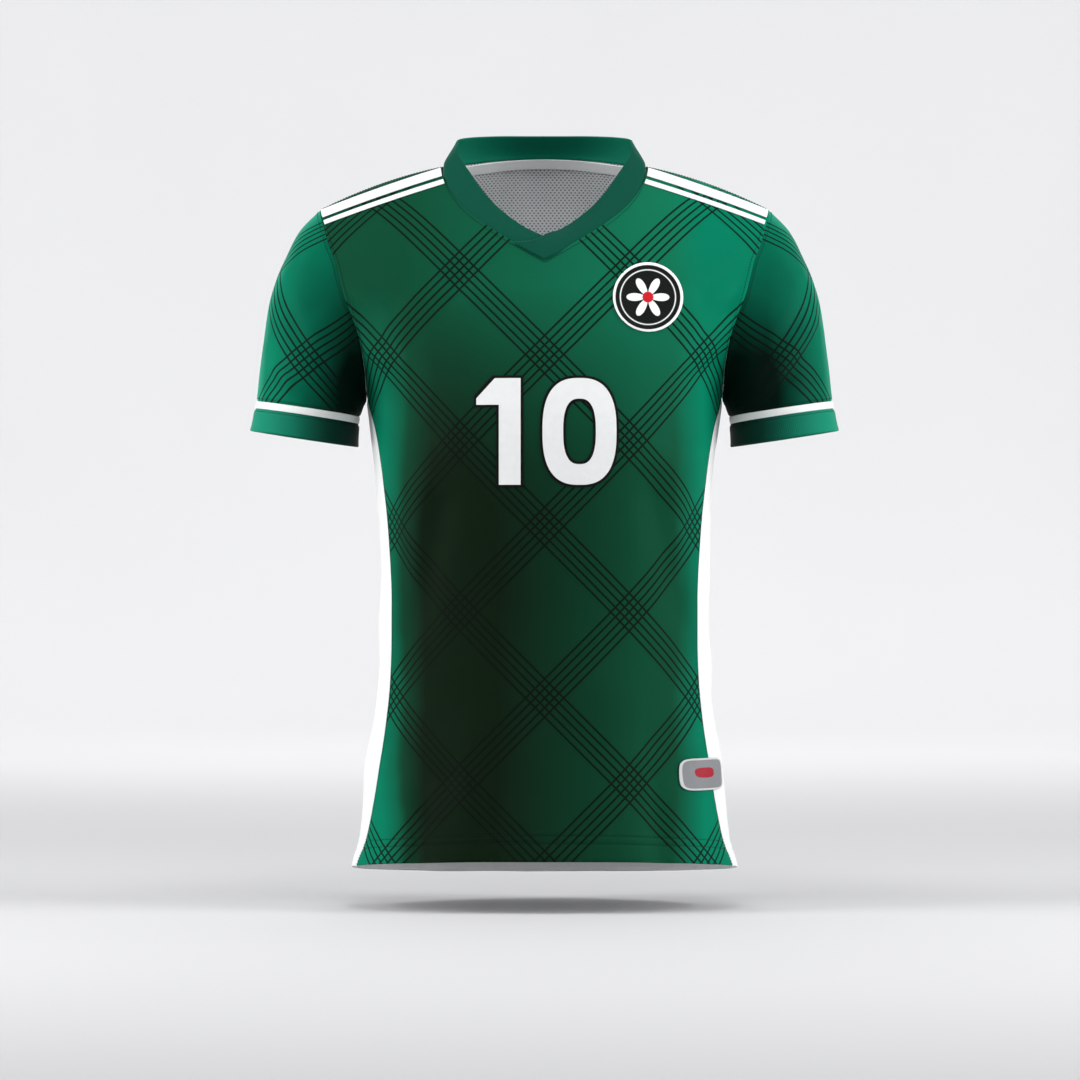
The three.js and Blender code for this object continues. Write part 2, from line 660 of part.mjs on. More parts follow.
// A closed wall between two sheets of points that have the same rows and columns
function wallGeometry(outer, inner, closed) {
  const rowCount = outer.length;
  const count = outer[0].length;
  const spans = closed ? count : count - 1;
  const triangles = [];
  const addTriangle = (a, b, c) => {
    const shortest = Math.min(a.distanceTo(b), b.distanceTo(c), c.distanceTo(a));
    if (shortest > SAME_POINT) triangles.push(a, b, c);
  };
  // A quad is split along its shorter diagonal, so that the two edges of a seam are split alike
  const addQuad = (a, b, c, d) => {
    if (a.distanceTo(c) <= SAME_LENGTH_RATIO * b.distanceTo(d)) {
      addTriangle(a, b, c);
      addTriangle(a, c, d);
    } else {
      addTriangle(b, c, d);
      addTriangle(b, d, a);
    }
  };
  for (let r = 0; r < rowCount - 1; r += 1) {
    for (let c = 0; c < spans; c += 1) {
      const next = (c + 1) % count;
      addQuad(outer[r][c], outer[r][next], outer[r + 1][next], outer[r + 1][c]);
      addQuad(inner[r][c], inner[r + 1][c], inner[r + 1][next], inner[r][next]);
    }
    if (!closed) {
      addQuad(outer[r][0], outer[r + 1][0], inner[r + 1][0], inner[r][0]);
      const end = count - 1;
      addQuad(outer[r][end], inner[r][end], inner[r + 1][end], outer[r + 1][end]);
    }
  }
  const last = rowCount - 1;
  for (let c = 0; c < spans; c += 1) {
    const next = (c + 1) % count;
    addQuad(outer[0][c], inner[0][c], inner[0][next], outer[0][next]);
    addQuad(outer[last][c], outer[last][next], inner[last][next], inner[last][c]);
  }
  return closedGeometry(triangles);
}

// Triangles as a geometry that faces outwards: its volume, summed from the origin, is positive
function closedGeometry(corners) {
  let volume = 0;
  for (let i = 0; i < corners.length; i += 3) {
    volume += corners[i].dot(corners[i + 1].clone().cross(corners[i + 2]));
  }
  if (volume < 0) {
    for (let i = 0; i < corners.length; i += 3) {
      [corners[i + 1], corners[i + 2]] = [corners[i + 2], corners[i + 1]];
    }
  }
  const geometry = new THREE.BufferGeometry().setFromPoints(corners);
  geometry.computeVertexNormals();
  return geometry;
}

function offset(rows, normals, distance) {
  return rows.map((row, r) =>
    row.map((point, c) => point.clone().addScaledVector(normals[r][c], distance)),
  );
}

function clothMaterial(colour, roughness) {
  return new THREE.MeshStandardMaterial({ color: colour, roughness, metalness: 0 });
}

const jersey = new THREE.Group();
jersey.name = "football_jersey";

function addMesh(name, geometry, material) {
  const mesh = new THREE.Mesh(geometry, material);
  mesh.name = name;
  jersey.add(mesh);
}

// Lines inside the body and the sleeves, from which their cloth faces away
const bodyAxis = (point) => new THREE.Vector3(0, 0, Math.min(point.z, BODY_AXIS_TOP_Z));
const sleeveAxis = (side) => () => sleeveCentre(side, SLEEVE_END / 2);

function makeSheet(name, rows, options) {
  const { closed = false, inside = bodyAxis } = options;
  const normals = facingOut(rows, sheetNormals(rows, closed), inside);
  return { name, rows, normals, closed, ...options };
}

const SEWN_ALL_BUT_HEM = { bottom: false, top: true, sides: true };
const panelGreen = clothMaterial(COLOURS.green, 0.62);
const panelWhite = clothMaterial(COLOURS.white, 0.66);
const sheets = [
  makeSheet("front", facePanel(FRONT, frontNeckline, FRONT_NECK_COLUMNS), {
    section: "body",
    thickness: PANEL_THICKNESS,
    sewn: SEWN_ALL_BUT_HEM,
    material: panelGreen,
  }),
  makeSheet("back", facePanel(BACK, backNeckline, BACK_NECK_COLUMNS), {
    section: "body",
    thickness: PANEL_THICKNESS,
    sewn: SEWN_ALL_BUT_HEM,
    material: panelGreen.clone(),
  }),
];
const SIDES = [
  { name: "left", side: 1 },
  { name: "right", side: -1 },
];
for (const { name, side } of SIDES) {
  const tube = { closed: true, inside: sleeveAxis(side) };
  sheets.push(
    makeSheet(`side_panel_${name}`, sidePanel(side), {
      section: "body",
      thickness: PANEL_THICKNESS,
      sewn: SEWN_ALL_BUT_HEM,
      material: panelWhite.clone(),
    }),
    makeSheet(`sleeve_${name}`, sleeveTube(side, 0, SLEEVE_END, SLEEVE_ROWS), {
      ...tube,
      section: "sleeve",
      thickness: PANEL_THICKNESS,
      sewn: { bottom: true, top: true },
      ease: SLEEVE_EASE,
      material: panelGreen.clone(),
    }),
    makeSheet(`cuff_stripe_${name}`, sleeveTube(side, SLEEVE_END, CUFF_STRIPE_END, 1), {
      ...tube,
      section: "stripe",
      thickness: PANEL_THICKNESS,
      sewn: { bottom: true, top: true },
      material: panelWhite.clone(),
    }),
    makeSheet(`cuff_${name}`, sleeveTube(side, CUFF_STRIPE_END, CUFF_END, CUFF_ROWS), {
      ...tube,
      section: "cuff",
      thickness: CUFF_THICKNESS,
      sewn: { bottom: true, top: false },
      material: clothMaterial(COLOURS.collarGreen, 0.7),
    }),
  );
}

// The collar's rows run round the neck; its base row is the one that is sewn
const collarLines = collarBand();
const collarRows = Array.from({ length: COLLAR_ROWS + 1 }, (_, i) =>
  collarLines.map((line) => line.points[i]),
);
const collarSheet = makeSheet("collar", collarRows, {
  section: "collar",
  thickness: COLLAR_THICKNESS,
  sewn: { bottom: true, top: false, sides: true },
  material: clothMaterial(COLOURS.collarGreen, 0.7),
});

for (const sheet of [...sheets, collarSheet]) noteSeams(sheet);
for (const sheet of [...sheets, collarSheet]) {
  for (const [r, c] of borderPoints(sheet)) {
    sheet.normals[r][c] = seamNormal(sheet.rows[r][c]);
  }
}
for (const sheet of sheets) {
  const outer = trimmed(sheet);
  const inner = offset(outer, sheet.normals, -sheet.thickness);
  addMesh(sheet.name, wallGeometry(outer, inner, sheet.closed), sheet.material);
}

// Near the front's point the collar's upper end climbs over its under end
const LAP_RISE = COLLAR_THICKNESS + LAYER_GAP;
const collarOuter = trimmed(collarSheet).map((row, r) =>
  row.map((point, c) => {
    const rise = LAP_RISE * collarLines[c].raised;
    return point.addScaledVector(collarSheet.normals[r][c], rise);
  }),
);
const collarInner = offset(collarOuter, collarSheet.normals, -COLLAR_THICKNESS);
addMesh("collar", wallGeometry(collarOuter, collarInner, false), collarSheet.material);

// Direction straight out of a face at (x, z)
function faceNormal(face, x, z) {
  const across = facePoint(face, x + NORMAL_STEP, z).sub(facePoint(face, x - NORMAL_STEP, z));
  const up = facePoint(face, x, z + NORMAL_STEP).sub(facePoint(face, x, z - NORMAL_STEP));
  return across.cross(up).normalize().multiplyScalar(-face.sign);
}

// A piece that lies on a face: its points are the face's own, moved along the face's normals
function layOnFace(name, face, places, options) {
  const { closed = false, lift, thickness, material } = options;
  const points = places.map((row) => row.map(({ x, z }) => facePoint(face, x, z)));
  const normals = places.map((row) => row.map(({ x, z }) => faceNormal(face, x, z)));
  const outer = offset(points, normals, lift + thickness);
  const inner = offset(points, normals, lift);
  addMesh(name, wallGeometry(outer, inner, closed), material);
}

// x of the front neckline where it lies a given drop below the shoulder line, found by halving
function necklineAtDrop(drop) {
  let low = 0;
  let high = 1;
  for (let pass = 0; pass < HALVING_PASSES; pass += 1) {
    const middle = (low + high) / 2;
    const { x, z } = frontNeckline(middle);
    if (frontCrown(x) - z < drop) low = middle;
    else high = middle;
  }
  return frontNeckline(low).x;
}

// Places of a shoulder tape: its edges drop a little from the shoulder line and bow in the middle
function shoulderTape(side, { top, bottom, strips }) {
  const rows = [];
  for (let i = 0; i <= strips; i += 1) {
    const drop = lerp(top, bottom, i / strips);
    const neckX = necklineAtDrop(drop) + SHOULDER_TAPE_END_GAP;
    const tipX = seamAt(ARMHOLE_TOP_Z - drop) - SHOULDER_TAPE_END_GAP;
    const row = [];
    for (let c = 0; c <= TAPE_COLUMNS; c += 1) {
      const share = c / TAPE_COLUMNS;
      const x = lerp(neckX, tipX, share);
      const bow = SHOULDER_TAPE_BOW * 4 * share * (1 - share);
      row.push({ x: side * x, z: frontCrown(x) - drop - bow });
    }
    rows.push(row);
  }
  return rows;
}

// Places of a patch: rings that grow from its middle to its outline, a rounded shape of a given power
function patchPlaces(power, place) {
  const rounded = (value) => Math.sign(value) * Math.abs(value) ** (2 / power);
  const rings = [];
  for (let r = 0; r <= PATCH_RINGS; r += 1) {
    const ring = [];
    for (let c = 0; c < PATCH_SIDES; c += 1) {
      const angle = (2 * Math.PI * c) / PATCH_SIDES;
      const share = r / PATCH_RINGS;
      ring.push(place(share * rounded(Math.cos(angle)), share * rounded(Math.sin(angle))));
    }
    rings.push(ring);
  }
  return rings;
}

const whiteTape = clothMaterial(COLOURS.white, 0.5);
for (const { name, side } of SIDES) {
  for (const tape of SHOULDER_TAPES) {
    layOnFace(`shoulder_tape_${tape.name}_${name}`, FRONT, shoulderTape(side, tape), {
      lift: LAYER_GAP,
      thickness: TAPE_THICKNESS,
      material: whiteTape.clone(),
    });
  }
}

// The neck tape is made from the back's own points between the two shoulders, moved inwards
function neckTapeRows(grid) {
  const last = grid.length - 1;
  const inner = (row) => row.slice(SHOULDER_COLUMNS + 1, -SHOULDER_COLUMNS - 1);
  const between = (low, high, share) => {
    return inner(low.map((value, c) => value.clone().lerp(high[c], share)));
  };
  return [
    between(grid[last - 2], grid[last - 1], NECK_TAPE.bottom),
    inner(grid[last - 1]),
    between(grid[last - 1], grid[last], NECK_TAPE.top),
  ];
}

const backSheet = sheets.find((sheet) => sheet.name === "back");
const tapePoints = neckTapeRows(backSheet.rows);
const tapeNormals = neckTapeRows(backSheet.normals);
const tapeOuter = offset(tapePoints, tapeNormals, -PANEL_THICKNESS - LAYER_GAP);
const tapeInner = offset(tapeOuter, tapeNormals, -TAPE_THICKNESS);
addMesh("neck_tape", wallGeometry(tapeOuter, tapeInner, false), clothMaterial(COLOURS.grey, 0.7));

const badgePlaces = patchPlaces(2, (across, up) => ({
  x: BADGE.x + across * BADGE.radius,
  z: BADGE.z + up * BADGE.radius,
}));
layOnFace("chest_badge", FRONT, badgePlaces, {
  closed: true,
  lift: LAYER_GAP,
  thickness: BADGE.thickness,
  material: clothMaterial(COLOURS.badge, 0.55),
});

// The label follows the body's oval round the side seam, by angle from the middle of the front
const labelPlaces = patchPlaces(HEM_LABEL.corner, (across, up) => {
  const angle = THREE.MathUtils.degToRad(lerp(HEM_LABEL.from, HEM_LABEL.to, (across + 1) / 2));
  const z = HEM_LABEL.z + (up * HEM_LABEL.height) / 2;
  return { x: reachAt(z) * Math.sin(angle) ** (2 / OVAL_POWER), z };
});
layOnFace("hem_label", FRONT, labelPlaces, {
  closed: true,
  lift: HEM_LABEL.lift,
  thickness: HEM_LABEL.thickness,
  material: clothMaterial(COLOURS.grey, 0.35),
});

export default jersey;
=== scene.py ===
# %% [markdown]
# # A football jersey, filled out as if it were worn
#
# The jersey is a hollow garment: cloth panels about a millimetre thick, sewn together, with nobody in them.
# Each panel is worked out with numpy as a function of two parameters on a grid, given a thickness,
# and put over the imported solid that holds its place. All sizes are in millimetres until a mesh is made.

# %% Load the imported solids
import math
import bpy
import numpy as np
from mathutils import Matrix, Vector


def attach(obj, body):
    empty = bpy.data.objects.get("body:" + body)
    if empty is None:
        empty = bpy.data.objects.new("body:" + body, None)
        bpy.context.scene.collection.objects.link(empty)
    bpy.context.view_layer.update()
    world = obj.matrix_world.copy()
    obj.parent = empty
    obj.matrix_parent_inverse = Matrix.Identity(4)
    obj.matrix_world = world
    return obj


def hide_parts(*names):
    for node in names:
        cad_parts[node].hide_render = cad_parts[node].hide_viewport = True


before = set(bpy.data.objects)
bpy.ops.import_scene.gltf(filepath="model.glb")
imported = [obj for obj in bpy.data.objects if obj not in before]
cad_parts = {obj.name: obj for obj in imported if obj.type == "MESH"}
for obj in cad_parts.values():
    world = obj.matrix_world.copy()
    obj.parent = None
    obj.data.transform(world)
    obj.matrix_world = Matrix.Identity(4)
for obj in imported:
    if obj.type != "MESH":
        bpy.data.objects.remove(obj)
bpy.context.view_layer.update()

# %% [markdown]
# ## The camera
#
# The picture looks at the jersey straight from the front, from far away and a little above its middle.
# A long lens five metres off gives the same flat look: one picture point is one millimetre at the shoulders.

# %% The camera
CAMERA_DISTANCE = 5.0
FRAME_WIDTH = 1.08
camera_data = bpy.data.cameras.new("camera")
camera_data.sensor_width = 36
camera_data.lens = camera_data.sensor_width * CAMERA_DISTANCE / FRAME_WIDTH
camera = bpy.data.objects.new("camera", camera_data)
camera.location = (-0.0045, -CAMERA_DISTANCE, -0.368)
camera.rotation_euler = (math.pi / 2, 0, 0)
bpy.context.collection.objects.link(camera)
bpy.context.scene.camera = camera
print("lens:", round(camera_data.lens, 1), "mm")

# %% [markdown]
# ## Tables, smooth curves and steps
#
# A garment is cut from measurements taken at a few heights. A table holds them, and a smooth curve
# that never runs past a row joins them. The other helpers blend, fade and space out values.

# %% Helpers for numbers
def table(columns, *rows):
    """A table as a dictionary: column name to an array of its values."""
    return dict(zip(columns.split(), np.array(rows, float).T))


def curve_through(rows, start, end):
    """Cubic pieces through two columns. Each inner slope is the harmonic mean of the two rises beside it,
    or zero where they change direction, so the curve stays between its rows."""
    at, value = rows[start], rows[end]
    rise = np.diff(value) / np.diff(at)
    product, total = rise[:-1] * rise[1:], rise[:-1] + rise[1:]
    inner = np.where(product > 0, 2 * product / np.where(product > 0, total, 1), 0)
    slope = np.concatenate([rise[:1], inner, rise[-1:]])

    def curve(place):
        x = np.clip(place, at[0], at[-1])
        i = np.clip(np.searchsorted(at, x) - 1, 0, len(at) - 2)
        step = at[i + 1] - at[i]
        t = (x - at[i]) / step
        blend = value[i] + (value[i + 1] - value[i]) * t * t * (3 - 2 * t)
        return blend + step * (slope[i] * t * (1 - t) ** 2 - slope[i + 1] * t * t * (1 - t))

    return curve


def lerp(a, b, t):
    return a + (b - a) * t


def smoothstep(x, low, high):
    t = np.clip((x - low) / (high - low), 0, 1)
    return t * t * (3 - 2 * t)


def runs(*stretches):
    """Values from each (start, end, step), joined into one rising list."""
    parts = [np.linspace(a, b, max(int(round((b - a) / step)), 1), endpoint=False) for a, b, step in stretches]
    return np.concatenate([*parts, [stretches[-1][1]]])


# %% [markdown]
# ## The body's form
#
# Across, the body is an oval a little squarer than an ellipse. Its half width and its two depths change with height.
# At the shoulders the cloth rounds off into a crown line. These are the sizes that the solids were built from.

# %% Sizes of the body
NECK_X, NECK_Z = 102, 5
TIP_X = 224
CROWN_DROP = 110
OVAL_POWER = 2.2
HEM_Z, HEM_DROP = -694.5, 0.105
ARMHOLE_BOTTOM = -230
UNDERARM_ANGLE = math.radians(160)

BODY_WIDTHS = table(
    "z reach seam",
    (-710, 194, 189.5), (-694, 192.5, 188), (-668, 185.5, 179), (-628, 181, 170.5), (-588, 178, 164),
    (-548, 171, 158), (-508, 166.5, 154), (-468, 165.5, 152.5), (-428, 164.5, 152.5), (-368, 164.5, 155.5),
    (-308, 168, 161.5), (-258, 174.5, 169), (-224, 179, 177.4), (-201, 188, 178.8), (-173, 203, 183),
    (-147, 221, 191), (-127, 238, 198.7), (-109, 251, 203.5), (-91, 276, 208), (-76, 307, 214),
    (-56, 374, 220), (-39, 480, 224), (20, 700, 224),
)
BODY_DEPTHS = table(
    "z front back",
    (-715, 114, 112), (-650, 111, 108), (-550, 107, 98), (-450, 108, 92), (-350, 116, 98), (-250, 122, 106),
    (-200, 117, 110), (-150, 104, 110), (-90, 82, 103), (-40, 66, 92), (19, 58, 88),
)
reach_at = curve_through(BODY_WIDTHS, "z", "reach")
seam_at = curve_through(BODY_WIDTHS, "z", "seam")


# %% [markdown]
# ## Folds and creases
#
# Cloth that hangs off the chest and is pulled at the armholes makes a few long soft folds, and shorter creases
# between them. Each is one row of a table: a line from one place to another, a width, a depth (negative for a
# trough) and a bend. The broad folds are also in the solids. The creases are only here.

# %% Folds and creases
FOLD = "from_x from_z to_x to_z width depth"
FRONT_FOLDS = table(
    FOLD,
    (-126, -318, -151, -470, 17, 4), (-100, -335, -124, -450, 15, -3.5), (130, -300, 155, -455, 17, 4),
    (106, -330, 132, -440, 15, -3.5), (-214, -84, -150, -132, 13, -3.5), (216, -80, 156, -124, 13, -3.5),
    (-182, -205, -118, -262, 15, -4), (182, -200, 128, -270, 15, -4), (-168, -572, -96, -604, 14, -3),
    (172, -532, 112, -568, 14, -3), (-72, -560, -84, -730, 24, 3.5), (62, -520, 78, -730, 26, 4),
    (-250, -215, -196, -236, 11, 3), (272, -160, 196, -232, 12, 4),
)
BACK_FOLDS = table(
    FOLD,
    (-120, -330, -146, -480, 18, 4), (124, -310, 150, -450, 18, 4), (-92, -390, -60, -520, 20, -4),
    (88, -370, 52, -500, 20, -4.5), (-212, -90, -140, -150, 14, -4), (214, -84, 148, -140, 14, -4),
    (-182, -208, -110, -280, 16, -4.5), (182, -200, 116, -268, 16, -4.5), (-40, -560, -58, -740, 26, 4),
    (84, -540, 96, -740, 26, 4), (262, -170, 196, -234, 13, 4), (-266, -150, -200, -226, 13, 3.5),
)
CREASE = FOLD + " bend"
CREASE_GAIN = 1.45
FRONT_CREASES = table(
    CREASE,
    (-206, -112, -168, -150, 6, -1.6, 3), (-198, -138, -150, -186, 8, -2.0, -4), (-190, -168, -142, -196, 7, 1.5, 3),
    (207, -104, 160, -150, 7, -1.8, -4), (199, -134, 150, -172, 7, -1.6, 4), (189, -170, 138, -214, 9, -2.2, -5),
    (-172, -238, -132, -300, 8, -2.0, 5), (170, -236, 136, -292, 8, -1.8, -5), (-150, -350, -138, -500, 9, -2.2, -6),
    (150, -330, 140, -486, 10, -2.4, 7), (-166, -548, -128, -586, 8, -2.0, 4), (-160, -612, -120, -640, 8, 1.6, -4),
    (168, -560, 130, -604, 8, -2.0, -4), (-40, -590, -48, -712, 14, -1.8, 5), (20, -560, 30, -715, 16, -1.6, -6),
    (112, -600, 120, -716, 12, -2.0, 4), (-122, -610, -130, -716, 12, -2.0, -4), (-70, -96, -96, -150, 9, -1.2, 4),
    (66, -98, 92, -148, 9, -1.1, -4), (-258, -120, -226, -196, 9, -1.8, 6), (-276, -176, -240, -222, 8, 1.8, 4),
    (262, -112, 232, -170, 9, -1.8, -6), (280, -150, 222, -226, 7, -2.6, -5), (222, -190, 198, -238, 7, -1.8, 4),
    (-224, -190, -200, -240, 7, -1.8, -4),
)
BACK_CREASES = table(
    CREASE,
    (-204, -118, -150, -170, 8, -2.0, 4), (206, -112, 154, -160, 8, -2.0, -4), (-190, -170, -130, -220, 8, -2.2, -5),
    (188, -166, 132, -210, 8, -2.0, 5), (-168, -250, -120, -320, 9, -2.2, 5), (168, -240, 118, -306, 9, -2.4, -5),
    (-150, -360, -128, -500, 9, -2.2, -6), (148, -350, 130, -480, 10, -2.2, 6), (-70, -200, -92, -330, 16, -2.0, 6),
    (64, -190, 86, -340, 16, -2.2, -6), (-164, -560, -110, -600, 8, -2.0, 4), (166, -556, 116, -592, 8, -2.0, -4),
    (-10, -600, -18, -716, 14, -2.0, 5), (40, -580, 50, -720, 12, 1.8, 4), (-100, -600, -112, -716, 13, -2.0, -4),
    (130, -610, 136, -716, 12, -2.0, 4), (-258, -120, -226, -200, 9, -2.0, 6), (262, -118, 230, -196, 9, -2.0, -6),
    (-226, -196, -200, -240, 7, -1.8, -4), (278, -160, 232, -226, 8, 1.8, -4),
)


def fold_height(folds, x, z):
    """Each fold lifts the cloth by its depth times a bell of the distance from its line."""
    height = np.zeros(np.broadcast(x, z).shape)
    for x0, z0, x1, z1, width, depth in zip(*folds.values()):
        share = np.clip(((x - x0) * (x1 - x0) + (z - z0) * (z1 - z0)) / ((x1 - x0) ** 2 + (z1 - z0) ** 2), 0, 1)
        away = np.hypot(x - lerp(x0, x1, share), z - lerp(z0, z1, share))
        height += depth * np.exp(-((away / width) ** 2))
    return height


def crease_height(creases, x, z):
    """A crease is a bell across its line. The line bows by its bend, and the crease fades in and out along it."""
    height = np.zeros(np.broadcast(x, z).shape)
    for x0, z0, x1, z1, width, depth, bend in zip(*creases.values()):
        length = math.hypot(x1 - x0, z1 - z0)
        along = ((x - x0) * (x1 - x0) + (z - z0) * (z1 - z0)) / length**2
        aside = ((x - x0) * (z1 - z0) - (z - z0) * (x1 - x0)) / length
        share = np.clip(along, 0, 1)
        beyond = (along - share) * length
        away = np.hypot(aside - bend * 4 * share * (1 - share), beyond)
        height += CREASE_GAIN * depth * np.exp(-((away / width) ** 2)) * np.sin(math.pi * lerp(0.12, 0.88, share))
    return height


# %% The two faces of the body
def shoulder_line(x):
    out = np.abs(x) - NECK_X
    return NECK_Z - 0.2 * out - 0.00125 * out * out


def front_crown(x):
    """The crown follows the shoulder line outside the neck and rises in a soft bend inside it."""
    inside = NECK_X - np.abs(x)
    return np.where(inside <= 0, shoulder_line(x), NECK_Z + 0.2 * inside + 0.0033 * inside * inside)


def back_crown(x):
    """Inside the neck the back's crown rises like an arch, 55 mm above the neck points."""
    inside = NECK_X - np.abs(x)
    share = np.minimum((x / NECK_X) ** 2, 1)
    return np.where(inside <= 0, shoulder_line(x), NECK_Z + 0.2 * inside * share + 55 * (1 - share) ** 1.5)


FRONT = dict(sign=-1, crown=front_crown, depth_at=curve_through(BODY_DEPTHS, "z", "front"),
             folds=FRONT_FOLDS, creases=FRONT_CREASES)
BACK = dict(sign=1, crown=back_crown, depth_at=curve_through(BODY_DEPTHS, "z", "back"),
            folds=BACK_FOLDS, creases=BACK_CREASES)


def face_depth(face, x, z):
    """Depth times the oval across, plus the folds, all rounded off near the crown by a quarter circle.
    The crown's line is blurred sideways the further the cloth hangs below it."""
    line = face["crown"](x)
    blurred = sum(w * face["crown"](x + 16 * k) for k, w in zip((-2, -1, 0, 1, 2), (1, 2, 3, 2, 1))) / 9
    below = np.maximum(lerp(line, blurred, smoothstep(line - z, 0, 60)) - z, 0)
    crown = np.sqrt(1 - (1 - np.minimum(below / CROWN_DROP, 1)) ** 2)
    across = np.minimum(np.abs(x) / reach_at(z), 1)
    oval = (1 - across**OVAL_POWER) ** (1 / OVAL_POWER)
    return crown * (face["depth_at"](z) * oval + fold_height(face["folds"], x, z))


def face_point(face, x, z):
    x, z = np.broadcast_arrays(np.asarray(x, float), np.asarray(z, float))
    return np.stack([x, face["sign"] * face_depth(face, x, z), z], -1)


def hem_height(y):
    return HEM_Z - HEM_DROP * y


# %% [markdown]
# ## From a grid of points to cloth
#
# A panel is one grid of points on the cloth's right side. Its normals come from the directions along and across
# the grid. The wrong side is the same grid moved in by the thickness, and a rim closes the wall all round.
# Lengths along the grid give a flat map of the cloth, so that weave and print follow it as they do on the table.

# %% Grids, normals and lengths
def length_of(vectors):
    return np.linalg.norm(vectors, axis=-1)


def sheet_normals(grid, inside, closed=False):
    """Cross product of the steps up and across, turned away from the points given as inside."""
    up = np.gradient(grid, axis=0)
    across = (np.roll(grid, -1, 1) - np.roll(grid, 1, 1)) / 2 if closed else np.gradient(grid, axis=1)
    normal = np.cross(up, across)
    normal /= np.maximum(length_of(normal), 1e-9)[..., None]
    return normal if ((grid - inside) * normal).sum() > 0 else -normal


def lengths_across(grid):
    """Length along each row from its first point."""
    steps = length_of(np.diff(grid, axis=1))
    return np.concatenate([np.zeros((len(grid), 1)), np.cumsum(steps, 1)], 1)


def lengths_up(grid):
    """Length up each column from the first row."""
    steps = length_of(np.diff(grid, axis=0))
    return np.concatenate([np.zeros((1, grid.shape[1])), np.cumsum(steps, 0)], 0)


def body_inside(grid):
    inside = np.zeros_like(grid)
    inside[..., 2] = np.minimum(grid[..., 2], -60)
    return inside


# %% A wall of cloth
def cloth(name, outer, normals, thickness, flat, closed=False, rims=(0, 0, 0)):
    """Right side, wrong side and a rim as one closed mesh, in metres.
    flat is the map of the cloth (across, up) in metres; in a tube it has one more column than the grid.
    rims says how far the rim bulges, in thicknesses, along the bottom row, the top row and the two sides."""
    rows, count = outer.shape[:2]
    inner = outer - normals * thickness
    index = np.arange(rows * count).reshape(rows, count)
    spans = count if closed else count - 1
    near = np.arange(spans)
    far = (near + 1) % count
    quads = np.stack([index[:-1][:, near], index[:-1][:, far], index[1:][:, far], index[1:][:, near]], -1)
    flat_near, flat_far = flat[:, :spans], flat[:, 1:spans + 1]
    quad_flat = np.stack([flat_near[:-1], flat_far[:-1], flat_far[1:], flat_near[1:]], 2)
    quads, quad_flat = quads.reshape(-1, 4), quad_flat.reshape(-1, 4, 2)

    ends = (lambda row: np.append(row, row[0])) if closed else (lambda row: row)
    edges = [(ends(index[0]), flat[0], outer[0] - outer[1], rims[0], 1),
             (ends(index[-1]), flat[-1], outer[-1] - outer[-2], rims[1], -1)]
    if not closed:
        edges += [(index[:, 0], flat[:, 0], outer[:, 0] - outer[:, 1], rims[2], -1),
                  (index[:, -1], flat[:, -1], outer[:, -1] - outer[:, -2], rims[2], 1)]
    points = [outer.reshape(-1, 3), inner.reshape(-1, 3)]
    faces = [quads, quads[:, ::-1] + rows * count]
    maps = [quad_flat, quad_flat[:, ::-1]]
    parts = [np.zeros(len(quads), int), np.ones(len(quads), int)]
    middles, start = [], 2 * rows * count
    for edge, edge_flat, away, rim, sign in edges:
        away = away / np.maximum(length_of(away), 1e-9)[..., None]
        near_points = points[0][edge[: len(away)]]
        middle = (near_points + points[1][edge[: len(away)]]) / 2 + away * rim * thickness
        here = start + np.arange(len(middle))
        if len(middles) >= 2:
            column = 0 if edge[0] == 0 else -1
            here = np.concatenate([[middles[0][column]], here[: len(middle) - 2], [middles[1][column]]])
            middle = middle[1:-1]
        middles.append(here)
        start += len(middle)
        points.append(middle)
        here = ends(here)
        for low, high in ((here, edge), (edge + rows * count, here)):
            face = np.stack([low[:-1], low[1:], high[1:], high[:-1]], -1)
            face_flat = np.stack([edge_flat[:-1], edge_flat[1:], edge_flat[1:], edge_flat[:-1]], 1)
            faces.append(face if sign > 0 else face[:, ::-1])
            maps.append(face_flat if sign > 0 else face_flat[:, ::-1])
            parts.append(np.zeros(len(face), int))
    return mesh_object(name, np.concatenate(points), np.concatenate(faces), np.concatenate(maps), np.concatenate(parts))


def mesh_object(name, points, faces, flat=None, parts=None):
    """Points in millimetres and four-sided faces as one object, turned so that its faces look outwards."""
    corners = points[faces]
    volume = (np.cross(corners[:, 1] - corners[:, 0], corners[:, 2] - corners[:, 0]) * corners[:, 0]).sum()
    volume += (np.cross(corners[:, 2] - corners[:, 0], corners[:, 3] - corners[:, 0]) * corners[:, 0]).sum()
    if volume < 0:
        faces = faces[:, ::-1]
        flat = None if flat is None else flat[:, ::-1]
    mesh = bpy.data.meshes.new(name)
    mesh.vertices.add(len(points))
    mesh.vertices.foreach_set("co", (points * 0.001).astype(np.float32).ravel())
    mesh.loops.add(faces.size)
    mesh.loops.foreach_set("vertex_index", np.ascontiguousarray(faces, np.int32).ravel())
    mesh.polygons.add(len(faces))
    mesh.polygons.foreach_set("loop_start", np.arange(0, faces.size, 4, dtype=np.int32))
    if parts is not None:
        mesh.polygons.foreach_set("material_index", np.ascontiguousarray(parts, np.int32))
    if flat is not None:
        layer = mesh.uv_layers.new(name="cloth")
        layer.data.foreach_set("uv", np.ascontiguousarray(flat, np.float32).ravel())
    mesh.update(calc_edges=True)
    mesh.validate()
    mesh.shade_smooth()
    mesh.set_sharp_from_angle(angle=math.radians(52))
    made = bpy.data.objects.new(name, mesh)
    bpy.context.collection.objects.link(made)
    return made


print("helpers ready")

# %% [markdown]
# ## Finishes as sums
#
# A finish is a small tree of nodes. Written as plain sums it is easier to read: a Wire stands for a socket,
# and every operator on it adds one Math node. All other nodes come from one method, which takes the node's type,
# its settings and what goes into its sockets.

